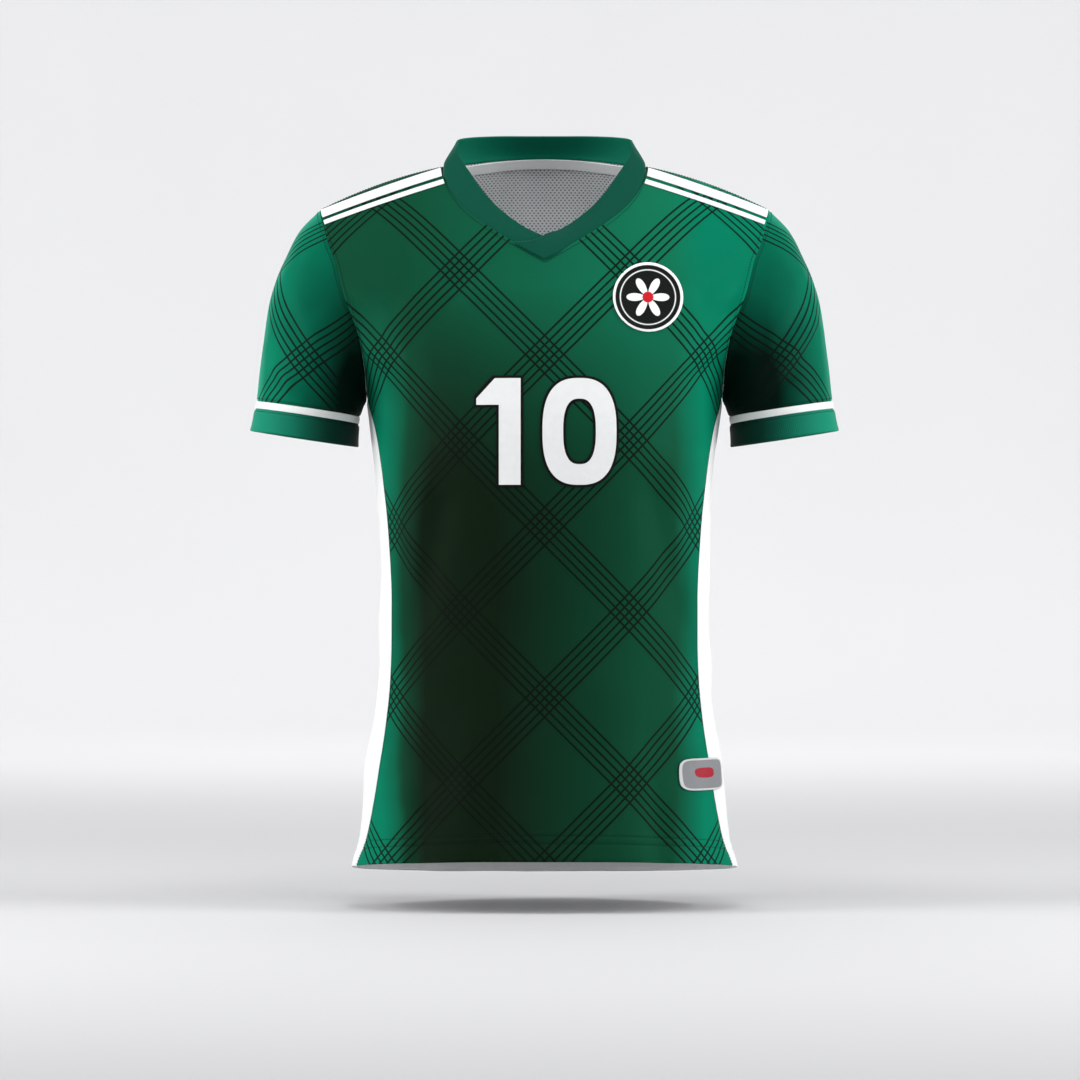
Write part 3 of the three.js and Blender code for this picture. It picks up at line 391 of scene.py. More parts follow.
# %% Wires and finishes
class Wire:
    """A socket that takes part in sums; numbers may stand on either side of it."""

    def __init__(self, finish, socket):
        self.finish, self.socket = finish, socket

    def math(self, operation, *values, clamp=False):
        return self.finish.node("ShaderNodeMath", {"operation": operation, "use_clamp": clamp}, dict(enumerate(values)))

    def __add__(self, other): return self.math("ADD", self, other)
    def __radd__(self, other): return self.math("ADD", other, self)
    def __sub__(self, other): return self.math("SUBTRACT", self, other)
    def __rsub__(self, other): return self.math("SUBTRACT", other, self)
    def __mul__(self, other): return self.math("MULTIPLY", self, other)
    def __rmul__(self, other): return self.math("MULTIPLY", other, self)
    def __truediv__(self, other): return self.math("DIVIDE", self, other)
    def __rtruediv__(self, other): return self.math("DIVIDE", other, self)
    def __pow__(self, other): return self.math("POWER", self, other)
    def __neg__(self): return self.math("MULTIPLY", self, -1.0)
    def __abs__(self): return self.math("ABSOLUTE", self)
    def __gt__(self, other): return self.math("GREATER_THAN", self, other)
    def __lt__(self, other): return self.math("LESS_THAN", self, other)

    def fraction(self): return self.math("FRACT", self)
    def floor(self): return self.math("FLOOR", self)
    def sine(self): return self.math("SINE", self)
    def exp(self): return self.math("EXPONENT", self)
    def most(self, other): return self.math("MAXIMUM", self, other)
    def least(self, other): return self.math("MINIMUM", self, other)
    def clamped(self): return self.math("ADD", self, 0.0, clamp=True)

    def bell(self, middle, width):
        """A bell over the distance from a middle: e to the minus (distance / width) squared."""
        away = (self - middle) / width
        return (-(away * away)).exp()

    def ramp(self, low, high):
        """Rises evenly from 0 at low to 1 at high, and stays there."""
        return ((self - low) / (high - low)).clamped()


def colour(red, green, blue):
    """A colour as it shows on a screen, 0 to 255, turned into the light values that a shader takes."""
    parts = [v / 255 for v in (red, green, blue)]
    return (*[v / 12.92 if v <= 0.04045 else ((v + 0.055) / 1.055) ** 2.4 for v in parts], 1.0)


class Finish:
    """A material with one Principled shader. Constants are set on the shader's own sockets."""

    def __init__(self, name, constants):
        self.material = bpy.data.materials.new(name)
        self.material.use_nodes = True
        self.tree = self.material.node_tree
        self.shader = self.tree.nodes["Principled BSDF"]
        for socket, value in constants.items():
            self.shader.inputs[socket].default_value = value

    def node(self, kind, settings=None, inputs=None, output=0):
        made = self.tree.nodes.new(kind)
        for key, value in (settings or {}).items():
            setattr(made, key, value)
        for key, value in (inputs or {}).items():
            self.put(value, made.inputs[key])
        return Wire(self, made.outputs[output])

    def put(self, value, socket):
        if isinstance(value, Wire):
            self.tree.links.new(value.socket, socket)
        else:
            socket.default_value = value

    def mix(self, first, second, share):
        """From the first colour (share 0) to the second (share 1)."""
        return self.node("ShaderNodeMix", {"data_type": "RGBA"}, {0: share, 6: first, 7: second}, 2)

    def parts(self, vector):
        split = self.node("ShaderNodeSeparateXYZ", None, {0: vector}).socket.node
        return [Wire(self, socket) for socket in split.outputs]

    def cloth_map(self):
        """Millimetres across and up the flat cloth."""
        across, up, _ = self.parts(self.node("ShaderNodeUVMap", {"uv_map": "cloth"}))
        return across * 1000.0, up * 1000.0

    def place(self):
        """The point itself, in metres."""
        return self.node("ShaderNodeTexCoord", None, None, "Object")

    def noise(self, scale, detail=2.0, vector=None, rough=0.5):
        """Soft random values round 0.5; scale is in repeats a metre."""
        vector = self.place() if vector is None else vector
        return self.node("ShaderNodeTexNoise", None, {"Vector": vector, "Scale": scale, "Detail": detail, "Roughness": rough})

    def surface(self, base, roughness, height, depth):
        """Connects colour, roughness and a bump whose height of 1 is the given depth in metres."""
        self.put(base, self.shader.inputs["Base Color"])
        self.put(roughness, self.shader.inputs["Roughness"])
        bump = self.node("ShaderNodeBump", None, {"Strength": 1.0, "Distance": depth, "Height": height})
        self.tree.links.new(bump.socket, self.shader.inputs["Normal"])
        return self.material


# %% [markdown]
# ## The knitted body cloth
#
# The body and the sleeves are one light polyester knit. It is printed before it is cut with a plain trellis of thin
# dark lines in bundles of five. Under it the green is partly a printed fade and partly painted light: brighter towards
# the side seams and on the upper right as painted side light, darker in the middle of the chest, and darkest left of
# the middle as dark print and painted fold shade. On the sleeves the green has a painted highlight along the outer fold
# and painted shade towards the underarm. The print lies in the flat map of the cloth, so it bends round the body as the
# cloth does.

# %% Knit, trellis, and fade with painted light
CLOTH_CONSTANTS = {"Sheen Weight": 0.05, "Sheen Roughness": 0.26, "Sheen Tint": colour(170, 255, 226),
                   "Specular IOR Level": 0.03}


def knit(across, up, wale=1.15, course=0.95):
    """Loops of a fine knit: one wave across the wales times one up the courses."""
    loops = (across * (2 * math.pi / wale)).sine() * (up * (2 * math.pi / course)).sine()
    return loops * 0.5 + 0.5


def line_bundles(run, period, lines, of, line_width):
    """In every period the first few of its evenly spaced lines are drawn, with soft edges."""
    pitch = period / of
    away = abs((run / pitch).fraction() - 0.5) * pitch
    drawn = (run / period).fraction() < lines / of
    return ((line_width / 2 - away) / 0.35 + 0.5).clamped() * drawn


def trellis(across, up, period, line_width, start):
    """Bundles that climb to the right and bundles that climb to the left, wherever either is drawn."""
    climbing = line_bundles(up + across + start, period, 5, 18, line_width)
    falling = line_bundles(up - across + start, period, 5, 18, line_width)
    return climbing.most(falling)


def body_cloth(name, period, line_width, start, chest_fade_with_painted_light):
    finish = Finish(name, CLOTH_CONSTANTS)
    across, up = finish.cloth_map()
    x, _, z = finish.parts(finish.place())
    cloudy = finish.noise(9.0, 3.0)
    if chest_fade_with_painted_light:
        # Partly a printed fade and partly painted light: painted side light brightens the side edges and the upper
        # right, and the dark band left of the middle is dark print and painted fold shade.
        side = x + (cloudy - 0.5) * 0.02
        high = z.ramp(-0.3, -0.12)
        edges = (1.0 - side.ramp(-0.162, -0.136)) * (1.0 - high) + side.ramp(0.128, 0.158)
        dark_print_and_painted_fold_shade = side.ramp(-0.144, -0.11) * (1.0 - side.ramp(-0.085, 0.095)) * (1.0 - z.ramp(-0.34, -0.12))
        base = finish.mix(colour(9, 67, 45), colour(14, 108, 78), side.ramp(-0.14, 0.15) * high)
        base = finish.mix(base, colour(0, 112, 84), edges)
        base = finish.mix(base, colour(12, 23, 10), (dark_print_and_painted_fold_shade * 1.25).clamped() ** 0.8 * 0.95)
    else:
        # Painted shade: the underarm side of each sleeve, lower down, is painted nearly black, reaching a little
        # further out on the right sleeve.
        inwards = 1.0 - (abs(x) - x.ramp(0.0, 0.01) * 0.028).ramp(0.192, 0.27)
        base = finish.mix(colour(2, 122, 92), colour(0, 92, 68), (cloudy * 2.0 - 0.5).clamped())
        # Painted highlight: a paler, whiter green along the outer fold of each sleeve stands in for sheen.
        base = finish.mix(base, colour(74, 176, 148), (1.0 - abs(across).ramp(0.0, 34.0)) * 0.6)
        base = finish.mix(base, colour(0, 8, 5), (inwards * (1.0 - z.ramp(-0.21, -0.03)) * 1.15).clamped() * 0.97)
    lines = trellis(across, up, period, line_width, start)
    base = finish.mix(base, colour(9, 17, 11), lines * 0.94)
    yarn = finish.noise(900.0, 1.0)
    roughness = 0.56 + yarn * 0.12 - lines * 0.06
    height = knit(across, up) * 0.6 + yarn * 0.4
    return finish.surface(base, roughness, height, 0.00012)


front_cloth = body_cloth("printed knit of the front with painted light", 168.0, 2.8, 42.0, True)
back_cloth = body_cloth("printed knit of the back with painted light", 168.0, 2.8, 42.0, True)
sleeve_cloth = body_cloth("printed knit of the sleeves with painted light", 168.0, 2.8, 60.0, False)
print("printed cloths:", 3)

# %% [markdown]
# ## The other cloths
#
# The inside shows the back of an open mesh: pale grey, with rows of small dark holes that step sideways
# from row to row. The side panels and the stripes above the cuffs are the same knit in white.
# Collar and cuffs are a denser rib, and the tapes are woven.

# %% Mesh, white knit, rib and tapes
def mesh_holes(across, up, pitch=4.2, radius=0.95):
    """Round holes in rows; every other row is shifted by half a pitch."""
    row = up / (pitch * 0.62)
    shift = (row.floor() * 0.5).fraction()
    side = ((across / pitch + shift).fraction() - 0.5) * pitch
    rise = (row.fraction() - 0.5) * (pitch * 0.62)
    away = side * side + rise * rise * 1.7
    return 1.0 - away.ramp(radius * radius * 0.55, radius * radius * 1.25)


def inner_mesh():
    finish = Finish("pale mesh of the inside", {"Specular IOR Level": 0.25})
    across, up = finish.cloth_map()
    holes = mesh_holes(across, up) * finish.parts(finish.place())[2].ramp(-0.682, -0.679)
    fuzz = finish.noise(300.0)
    base = finish.mix(colour(250, 251, 252), colour(238, 240, 241), fuzz)
    base = finish.mix(base, colour(84, 86, 88), holes * 0.9)
    return finish.surface(base, 0.7 + fuzz * 0.15, fuzz * 0.3 - holes, 0.0004)


def white_knit():
    finish = Finish("white knit", {"Sheen Weight": 0.1, "Specular IOR Level": 0.3})
    across, up = finish.cloth_map()
    fuzz = finish.noise(420.0)
    loops = knit(across, up, 1.5, 1.3)
    base = finish.mix(colour(230, 231, 230), colour(214, 217, 216), fuzz * 0.6 + loops * 0.4)
    return finish.surface(base, 0.6 + fuzz * 0.12, loops * 0.7 + fuzz * 0.3, 0.00016)


def rib(name, cuff_painted_light):
    """Ribs run across the band as a rounded wave. On the cuffs a painted highlight lights the outer edge and painted
    shade darkens the inner side; on the collar the back half is painted lighter, as painted light inside the neck.
    """
    finish = Finish(name, {"Sheen Weight": 0.08, "Sheen Roughness": 0.3, "Specular IOR Level": 0.08})
    across, up = finish.cloth_map()
    ribs = abs((across * (math.pi / 1.9)).sine())
    fuzz = finish.noise(650.0)
    base = finish.mix(colour(0, 57, 44), colour(0, 79, 61), ribs * 0.5 + fuzz * 0.5)
    if not cuff_painted_light:
        # Painted light: the collar is painted lighter towards the back, where the inside of the neck lies in shade.
        behind = finish.parts(finish.place())[1]
        base = finish.mix(base, colour(0, 104, 80), behind.ramp(0.0, 0.03) * 0.8)
    else:
        # Painted highlight towards the outer edge of the cuff, painted shade towards its inner side.
        out = abs(finish.parts(finish.place())[0])
        base = finish.mix(base, colour(12, 130, 102), out.ramp(0.215, 0.29) * 0.9)
        base = finish.mix(base, colour(0, 14, 9), (1.0 - out.ramp(0.185, 0.25)) * 0.92)
    return finish.surface(base, 0.6 + fuzz * 0.14, ribs * 0.7 + fuzz * 0.3, 0.00014)


def woven(name, light, shadow, pitch, depth):
    """Plain weave: threads cross in a chequer, so the height is the higher of two waves."""
    finish = Finish(name, {"Sheen Weight": 0.08, "Specular IOR Level": 0.4})
    across, up = finish.cloth_map()
    warp = (across * (math.pi / pitch)).sine()
    weft = (up * (math.pi / pitch)).sine()
    threads = abs(warp) * 0.5 + abs(weft) * 0.5
    fuzz = finish.noise(500.0)
    base = finish.mix(shadow, light, threads * 0.6 + fuzz * 0.5)
    return finish.surface(base, 0.5 + fuzz * 0.15, threads, depth)


def thread(name, light, shadow):
    """Twisted sewing thread: fine slanting bands along the stitch."""
    finish = Finish(name, {"Specular IOR Level": 0.1})
    x, y, z = finish.parts(finish.place())
    twist = ((x + z + y) * (2 * math.pi / 0.0006)).sine() * 0.5 + 0.5
    return finish.surface(finish.mix(shadow, light, twist), 0.45 + twist * 0.2, twist, 0.00005)


mesh_inside = inner_mesh()
white_cloth = white_knit()
rib_cloth = rib("deep green rib of the collar", False)
cuff_cloth = rib("deep green rib of the cuffs", True)
tape_cloth = woven("white woven tape", colour(240, 240, 239), colour(224, 226, 226), 0.8, 0.0001)
neck_tape_cloth = woven("grey woven tape", colour(248, 249, 250), colour(236, 238, 239), 1.4, 0.00012)
green_thread = thread("green thread", colour(0, 30, 21), colour(0, 13, 9))
lap_highlight_thread = thread("pale green thread as painted highlight", colour(34, 132, 106), colour(16, 96, 76))
white_thread = thread("white thread", colour(244, 245, 244), colour(206, 208, 208))
print("finishes:", len(bpy.data.materials))

# %% [markdown]
# ## Seams and hems in the surface
#
# Where two pieces are sewn together the cloth dips towards the seam. A hem is cloth turned up and stitched,
# so it is a little thicker below the stitching, and each row of stitches pulls a shallow groove.

# %% Seam dips, the hem, and how a finished piece joins the jersey
SEAM_DIP, SEAM_DIP_WIDTH = 1.1, 2.6
HEM_STITCHES = (18.0, 26.0)


def seam_dip(away):
    return -SEAM_DIP * np.exp(-((away / SEAM_DIP_WIDTH) ** 2))


def hem_relief(above):
    """Turned-up cloth below the upper row of stitches, with a groove along each row."""
    turned = 0.5 * (1 - smoothstep(above, HEM_STITCHES[1] + 1, HEM_STITCHES[1] + 4))
    grooves = sum(np.exp(-(((above - row) / 1.5) ** 2)) for row in HEM_STITCHES)
    return turned - 0.6 * grooves


def sheet_area(grid):
    """Sum of the cells' areas, each half the length of the cross product of its diagonals, in square metres."""
    one, two = grid[1:, 1:] - grid[:-1, :-1], grid[1:, :-1] - grid[:-1, 1:]
    return float(length_of(np.cross(one, two)).sum() / 2) * 1e-6


pieces = {}


def join_jersey(piece, finishes, node=None):
    """Gives a piece its finishes, lets it stand for its solid and ride with the jersey."""
    for finish in finishes:
        piece.data.materials.append(finish)
    if node:
        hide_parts(node)
    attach(piece, "root")
    pieces[piece.name] = piece
    return piece


cut_sizes = {}


def note_cut(name, grid, closed=False):
    """Width and length of the flat cloth, and its area, all round on a tube."""
    ring = np.concatenate([grid, grid[:, :1]], 1) if closed else grid
    width, length = lengths_across(ring)[:, -1].max() / 1000, lengths_up(ring)[-1].max() / 1000
    cut_sizes[name] = (round(width, 3), round(length, 3), sheet_area(ring))
    print(name, "is cut from", cut_sizes[name][:2], "m")


# %% [markdown]
# ## Front and back
#
# Each is cut in one piece with its half of the shoulders. A column of the grid keeps its share of the way out to
# the side edge, from the hem up to the shoulder or the neckline; a row is one height of the side edge.
# The rows are packed closely at the hem and the columns at the seams, where the small forms are.

# %% The panels of the front and the back
SIDE_ROWS, ARM_ROWS, SHOULDER_COLUMNS = 14, 10, 6
SEAM_TOP = (lambda middle, half: middle + half * math.cos(UNDERARM_ANGLE))(
    (float(shoulder_line(TIP_X)) + ARMHOLE_BOTTOM) / 2, (float(shoulder_line(TIP_X)) - ARMHOLE_BOTTOM) / 2
)


def armhole_height(angle):
    """The armhole is an oval: its height is a cosine between its bottom and the shoulder's tip."""
    top = float(shoulder_line(TIP_X))
    return (top + ARMHOLE_BOTTOM) / 2 + (top - ARMHOLE_BOTTOM) / 2 * np.cos(angle)


def side_height(face, k):
    """Up the side seam in 14 even steps, then up the armhole in 10 even turns."""
    bottom = hem_height(face["sign"] * face_depth(face, float(seam_at(HEM_Z)), HEM_Z))
    seam = lerp(bottom, SEAM_TOP, k / SIDE_ROWS)
    return np.where(k <= SIDE_ROWS, seam, armhole_height(UNDERARM_ANGLE * (1 - (k - SIDE_ROWS) / ARM_ROWS)))


def front_neckline(share):
    """A cubic curve through two handles, from the neck point (share 0) to the front's point (share 1)."""
    t = 1 - share**1.5
    weights = (1 - t) ** 3, 3 * (1 - t) ** 2 * t, 3 * (1 - t) * t * t, t**3
    x = sum(w * v for w, v in zip(weights, (0, 45, 100, NECK_X)))
    z = sum(w * v for w, v in zip(weights, (-92, -66, -40, NECK_Z)))
    return x, z, t


def back_neckline(share):
    """A quarter turn from the neck point (share 0) to the middle of the back (share 1)."""
    angle = share * math.pi / 2
    return NECK_X * np.cos(angle), NECK_Z + 14 * np.sin(angle) ** 2, 1 + share


def face_grid(face, neckline, neck_columns, across, up):
    """Points at shares of the way across (columns, 0 at the right side edge) and up (rows of the side edge)."""
    columns = SHOULDER_COLUMNS + neck_columns
    j = columns - np.abs(across - columns)
    side = np.sign(across - columns)
    shoulder_x = lerp(TIP_X, NECK_X, np.minimum(j / SHOULDER_COLUMNS, 1))
    neck_x, neck_z, _ = neckline(np.clip((j - SHOULDER_COLUMNS) / neck_columns, 0, 1))
    top_x = np.where(j < SHOULDER_COLUMNS, shoulder_x, neck_x)
    top_z = np.where(j < SHOULDER_COLUMNS, shoulder_line(shoulder_x), neck_z)
    hem_reach, hem_seam = float(reach_at(HEM_Z)), float(seam_at(HEM_Z))
    seam_angle = math.asin((hem_seam / hem_reach) ** (OVAL_POWER / 2))
    hem_x = hem_reach * np.sin(seam_angle * np.maximum(1 - j / columns, 0)) ** (2 / OVAL_POWER)
    hem_z = hem_height(face["sign"] * face_depth(face, hem_x, HEM_Z))
    side_z, lowest = side_height(face, up)[:, None], float(side_height(face, 0))
    share = (side_z - lowest) / (side_height(face, SIDE_ROWS + ARM_ROWS) - lowest)
    x = side * lerp(hem_x / hem_seam, top_x / TIP_X, share) * seam_at(side_z)
    return face_point(face, x, lerp(hem_z, top_z, share))


CROWN_STEPS = CROWN_DROP * np.linspace(0, 1, 80) ** 2
CROWN_CURVE = 80 * np.sqrt(1 - (1 - CROWN_STEPS / CROWN_DROP) ** 2)
CROWN_SPARE = np.append(np.cumsum(np.hypot(np.diff(CROWN_STEPS), np.diff(CROWN_CURVE))[::-1])[::-1], 0)
CROWN_SPARE = CROWN_SPARE - (CROWN_DROP - CROWN_STEPS)


def face_flat(face, x, z):
    """Across: the length of the level section from the middle line. Up: the height, plus what the curve of the
    crown is longer than its height. So the print runs true on the body and bends only where the cloth does."""
    shares = np.linspace(0, 1, 25)[:, None, None]
    section = face_depth(face, x * shares, z + 0 * shares)
    run = np.hypot(np.diff(x * shares, axis=0), np.diff(section, axis=0)).sum(0) * np.sign(x)
    below = np.clip(face["crown"](x) - z, 0, CROWN_DROP)
    return np.stack([run, z + np.interp(below, CROWN_STEPS, CROWN_SPARE)], -1) / 1000


def face_panel(name, face, neckline, neck_columns):
    columns = SHOULDER_COLUMNS + neck_columns
    half = runs((0.012, 0.3, 0.06), (0.3, 1, 0.14), (1, columns, 0.2))
    across = np.concatenate([half, 2 * columns - half[-2::-1]])
    up = runs((0, 0.45, 0.11), (0.45, 1.0, 0.045), (1, SIDE_ROWS, 0.16), (SIDE_ROWS, 23.4, 0.14), (23.4, 24, 0.06))
    grid = face_grid(face, neckline, neck_columns, across, up)
    normals = sheet_normals(grid, body_inside(grid))
    run, rise = lengths_across(grid), lengths_up(grid)
    to_side = np.minimum(run, run[:, -1:] - run)
    to_top = rise[-1:] - rise
    x, z = grid[..., 0], grid[..., 2]
    lift = crease_height(face["creases"], x, z) * smoothstep(to_side, 0, 12)
    lift += seam_dip(to_side) * lerp(1, 0.3, smoothstep(up, SIDE_ROWS - 2, SIDE_ROWS))[:, None] + 0.3 * seam_dip(to_top) + hem_relief(rise) * smoothstep(to_side, 0, 3)
    outer = grid + normals * lift[..., None]
    piece = cloth(name, outer, normals, 1.0, face_flat(face, x, z), rims=(0.4, 1.1, 0.6))
    note_cut(name, grid)
    return piece, outer, normals


front, front_outer, front_normals = face_panel("jersey_front", FRONT, front_neckline, 7)
back, back_outer, back_normals = face_panel("jersey_back", BACK, back_neckline, 6)
join_jersey(front, [front_cloth, mesh_inside], "front")
join_jersey(back, [back_cloth, mesh_inside], "back")
print("front faces:", len(front.data.polygons), "back faces:", len(back.data.polygons))

# %% [markdown]
# ## Side panels
#
# A narrow white panel runs from the hem to the armpit on each side. Its edges are the side edges of front and back,
# and between them it follows the oval of the body. Near the top its rows dip to meet the underarm.

# %% The side panels
def oval_width(y, z):
    """Half width of the body's oval at a depth: the oval's formula solved for x."""
    depth = np.where(y < 0, FRONT["depth_at"](z), BACK["depth_at"](z))
    return reach_at(z) * (1 - np.minimum(np.abs(y) / depth, 1) ** OVAL_POWER) ** (1 / OVAL_POWER)


def side_edge(face, side, z):
    return face_point(face, side * seam_at(z), z)


def armhole_line(side, angle):
    """The armhole all round: down the front edge, under the arm along the oval, up the back edge."""
    ahead = angle < math.pi
    turn = np.where(ahead, angle, 2 * math.pi - angle)
    held = np.minimum(turn, UNDERARM_ANGLE)
    z_edge = armhole_height(held)
    y_edge = np.where(ahead, side_edge(FRONT, side, z_edge)[..., 1], side_edge(BACK, side, z_edge)[..., 1])
    under = turn > UNDERARM_ANGLE
    z = armhole_height(turn)
    y = np.where(under, y_edge * np.sin(turn) / math.sin(UNDERARM_ANGLE), y_edge)
    x = np.where(under, oval_width(y, z), seam_at(z_edge))
    return np.stack([side * x, y, z], -1)


def side_panel(name, node, side):
    across = runs((0.006, 0.2, 0.05), (0.2, 3.8, 0.2), (3.8, 3.994, 0.05))
    up = runs((0, 0.45, 0.11), (0.45, 1.0, 0.045), (1, 13.4, 0.16), (13.4, SIDE_ROWS - 0.012, 0.06))
    start, end = (side_edge(face, side, side_height(face, up))[:, None] for face in (FRONT, BACK))
    share = across / 4
    y = lerp(start[..., 1], end[..., 1], share)
    z = lerp(start[..., 2], end[..., 2], share)
    arc = armhole_line(side, lerp(UNDERARM_ANGLE, 2 * math.pi - UNDERARM_ANGLE, share))
    pull = (up[:, None] / SIDE_ROWS) ** 4
    y = y + pull * (arc[:, 1] - lerp(arc[0, 1], arc[-1, 1], share))
    z = z + pull * (arc[:, 2] - SEAM_TOP)
    x = oval_width(y, z)
    x = x + (np.abs(start[..., 0]) - x[:, :1]) * (1 - smoothstep(share, 0, 0.3))
    x = x + (np.abs(end[..., 0]) - x[:, -1:]) * smoothstep(share, 0.7, 1)
    grid = np.stack([side * x, y, z], -1)
    normals = sheet_normals(grid, body_inside(grid))
    run, rise = lengths_across(grid), lengths_up(grid)
    to_side = np.minimum(run, run[:, -1:] - run)
    waves = 1.3 * np.sin(z / 31 + side) * np.sin(z / 74) + 0.8 * np.sin(z / 13 + 2 * side) * np.exp(-(((z + 480) / 90) ** 2))
    lift = waves * smoothstep(to_side, 0, 30) * smoothstep(rise, 30, 90)
    lift += seam_dip(to_side) + seam_dip(rise[-1:] - rise) + hem_relief(rise) * smoothstep(to_side, 0, 3)
    outer = grid + normals * lift[..., None]
    piece = cloth(name, outer, normals, 1.0, np.stack([run, rise], -1) / 1000, rims=(0.4, 0.5, 0.6))
    note_cut(name, grid)
    join_jersey(piece, [white_cloth, mesh_inside], node)
    return outer, normals


SIDES = (("left", 1), ("right", -1))
side_sheets = [side_panel(f"jersey_side_{word}", f"side_panel_{word}", side) for word, side in SIDES]
for near, far in ((front_outer[:, -1], side_sheets[0][0][:, 0]), (back_outer[:, -1], side_sheets[0][0][:, -1])):
    low = near[near[:, 2] < SEAM_TOP - 5]
    gaps = [length_of(far - p).min() for p in low[::6]]
    print("side seam, widest gap between grid points:", round(max(gaps), 2), "mm")

# %% [markdown]
# ## Sleeves, stripes and cuffs
#
# A sleeve is a tube that starts as the armhole itself and turns into a plain oval at the cuff. Its width, its
# depth and the slant of its end come from a table of sections along its outer edge. The folds of the body's faces
# run on over it. The white stripe and the cuff are the next stretches of the same tube.

# %% The sleeve's tube
SLEEVE = table(
    "along outer_x outer_z inner_x inner_z half_depth",
    (0, 224, -38, 177, -230, 58), (30, 245, -60, 179, -232.5, 61), (59, 258.5, -86, 180.5, -235, 64),
    (83, 268, -108, 181.6, -238, 66), (110, 275.5, -134, 182.6, -240.5, 66), (144, 280.5, -168, 183.5, -242.5, 64),
    (175, 284.5, -198, 184, -244, 61.5), (206, 288, -229.5, 184.6, -245.3, 59), (213, 289.4, -236.2, 185.1, -252, 58.5),
    (235, 294, -258, 186.2, -274.3, 57),
)
SLEEVE_END, STRIPE_END, CUFF_END = 206, 213, 235
sleeve_at = {key: curve_through(SLEEVE, "along", key) for key in SLEEVE if key != "along"}


def sleeve_centre(side, along):
    x = (sleeve_at["outer_x"](along) + sleeve_at["inner_x"](along)) / 2
    z = (sleeve_at["outer_z"](along) + sleeve_at["inner_z"](along)) / 2
    return np.stack([side * x, 0 * x, z], -1)


def sleeve_oval(side, along, angle):
    """An oval about the centre: cosine towards the outer edge, sine times the half depth to the front."""
    centre = sleeve_centre(side, along)
    x = lerp(centre[..., 0], side * sleeve_at["outer_x"](along), np.cos(angle))
    z = lerp(centre[..., 2], sleeve_at["outer_z"](along), np.cos(angle))
    return np.stack([x, -sleeve_at["half_depth"](along) * np.sin(angle), z], -1)


def sleeve_points(side, along, angle, folded=True):
    """The oval, plus what the armhole differs from its own oval, which fades out towards the cuff."""
    along, angle = along[:, None], angle[None, :]
    hold = (1 - np.clip(along / SLEEVE_END, 0, 1)) ** 2
    place = sleeve_oval(side, along, angle)
    armhole = armhole_line(side, np.mod(angle, 2 * math.pi))
    place = place + hold[..., None] * (armhole - sleeve_oval(side, np.zeros_like(along), angle))
    if not folded:
        return place
    ahead = place[..., 1] < 0
    x, y, z = (place[..., i] for i in range(3))
    folds = np.where(ahead, fold_height(FRONT_FOLDS, x, z), fold_height(BACK_FOLDS, x, z))
    lift = smoothstep(np.abs(y), 0, 30) * (1 - hold) * folds
    away = place - sleeve_centre(side, along)
    return place + away / length_of(away)[..., None] * lift[..., None]


# %% Sleeves, stripes and cuffs
ROUND = np.radians(runs((180, 210, 1.6), (210, 510, 2.2), (510, 540, 1.6)))[:-1]
CUFF_OUT, CUFF_IN = (np.array([float(sleeve_at[end + "_x"](SLEEVE_END)), float(sleeve_at[end + "_z"](SLEEVE_END))])
                     for end in ("outer", "inner"))
CUFF_WAY = (CUFF_OUT - CUFF_IN) / math.hypot(*(CUFF_OUT - CUFF_IN))
OUTER_EDGE = np.stack([sleeve_at["outer_x"](np.linspace(0, 235, 80)), sleeve_at["outer_z"](np.linspace(0, 235, 80))], -1)


def sleeve_flat(side, grid):
    """Up: the height square to the cuff. Across: the arc from the outer edge, taken as part of a circle through
    it: the chord times half the angle over the half angle's sine. Front and back part at the outer edge."""
    plan = np.stack([side * grid[..., 0], grid[..., 2]], -1) - CUFF_IN
    edge = OUTER_EDGE - CUFF_IN
    across, up = plan @ CUFF_WAY, plan @ (-CUFF_WAY[1], CUFF_WAY[0])
    edge_across, edge_up = edge @ CUFF_WAY, edge @ (-CUFF_WAY[1], CUFF_WAY[0])
    inwards = np.maximum(np.interp(up, edge_up[::-1], edge_across[::-1]) - across, 0)
    half = np.arctan2(inwards, np.abs(grid[..., 1]) + 1e-6)
    arc = np.hypot(inwards, grid[..., 1]) * np.where(half > 0.01, half / np.sin(np.maximum(half, 0.01)), 1)
    arc = arc * np.where(grid[..., 1] < 0, 1, -1)
    flat = np.stack([arc, up], -1)
    last = flat[:, :1] * (-1, 1)
    flat[:, 0, 0] = -np.abs(flat[:, 0, 0])
    last[:, 0, 0] = np.abs(last[:, 0, 0])
    return np.concatenate([flat, last], 1) / 1000


def sleeve_piece(name, node, side, along, thickness, relief, rims, finishes):
    """One stretch of the tube. Relief takes the lengths from both ends and gives the height of sewing and hems."""
    grid = sleeve_points(side, along, ROUND)
    inside = np.broadcast_to(sleeve_centre(side, along)[:, None], grid.shape)
    normals = sheet_normals(grid, inside, closed=True)
    ring = np.concatenate([grid, grid[:, :1]], 1)
    rise = lengths_up(ring)
    x, y, z = (grid[..., i] for i in range(3))
    creases = np.where(y < 0, crease_height(FRONT_CREASES, x, z), crease_height(BACK_CREASES, x, z))
    from_start, from_end = rise[:, :-1], (rise[-1:] - rise)[:, :-1]
    lift = creases * smoothstep(np.abs(y), 4, 26) * smoothstep(along, 2, 22)[:, None] * smoothstep(235 - along, 0, 45)[:, None]
    lift = lift + relief(from_start, from_end)
    outer = grid + normals * lift[..., None]
    piece = cloth(name, outer, normals, thickness, sleeve_flat(side, sleeve_points(side, along, ROUND, False)),
                  closed=True, rims=rims)
    note_cut(name, grid, closed=True)
    join_jersey(piece, finishes, node)
    return np.concatenate([outer, outer[:, :1]], 1), np.concatenate([normals, normals[:, :1]], 1)


def sewn_both_ends(start, end):
    return 0.3 * seam_dip(start) + seam_dip(end)


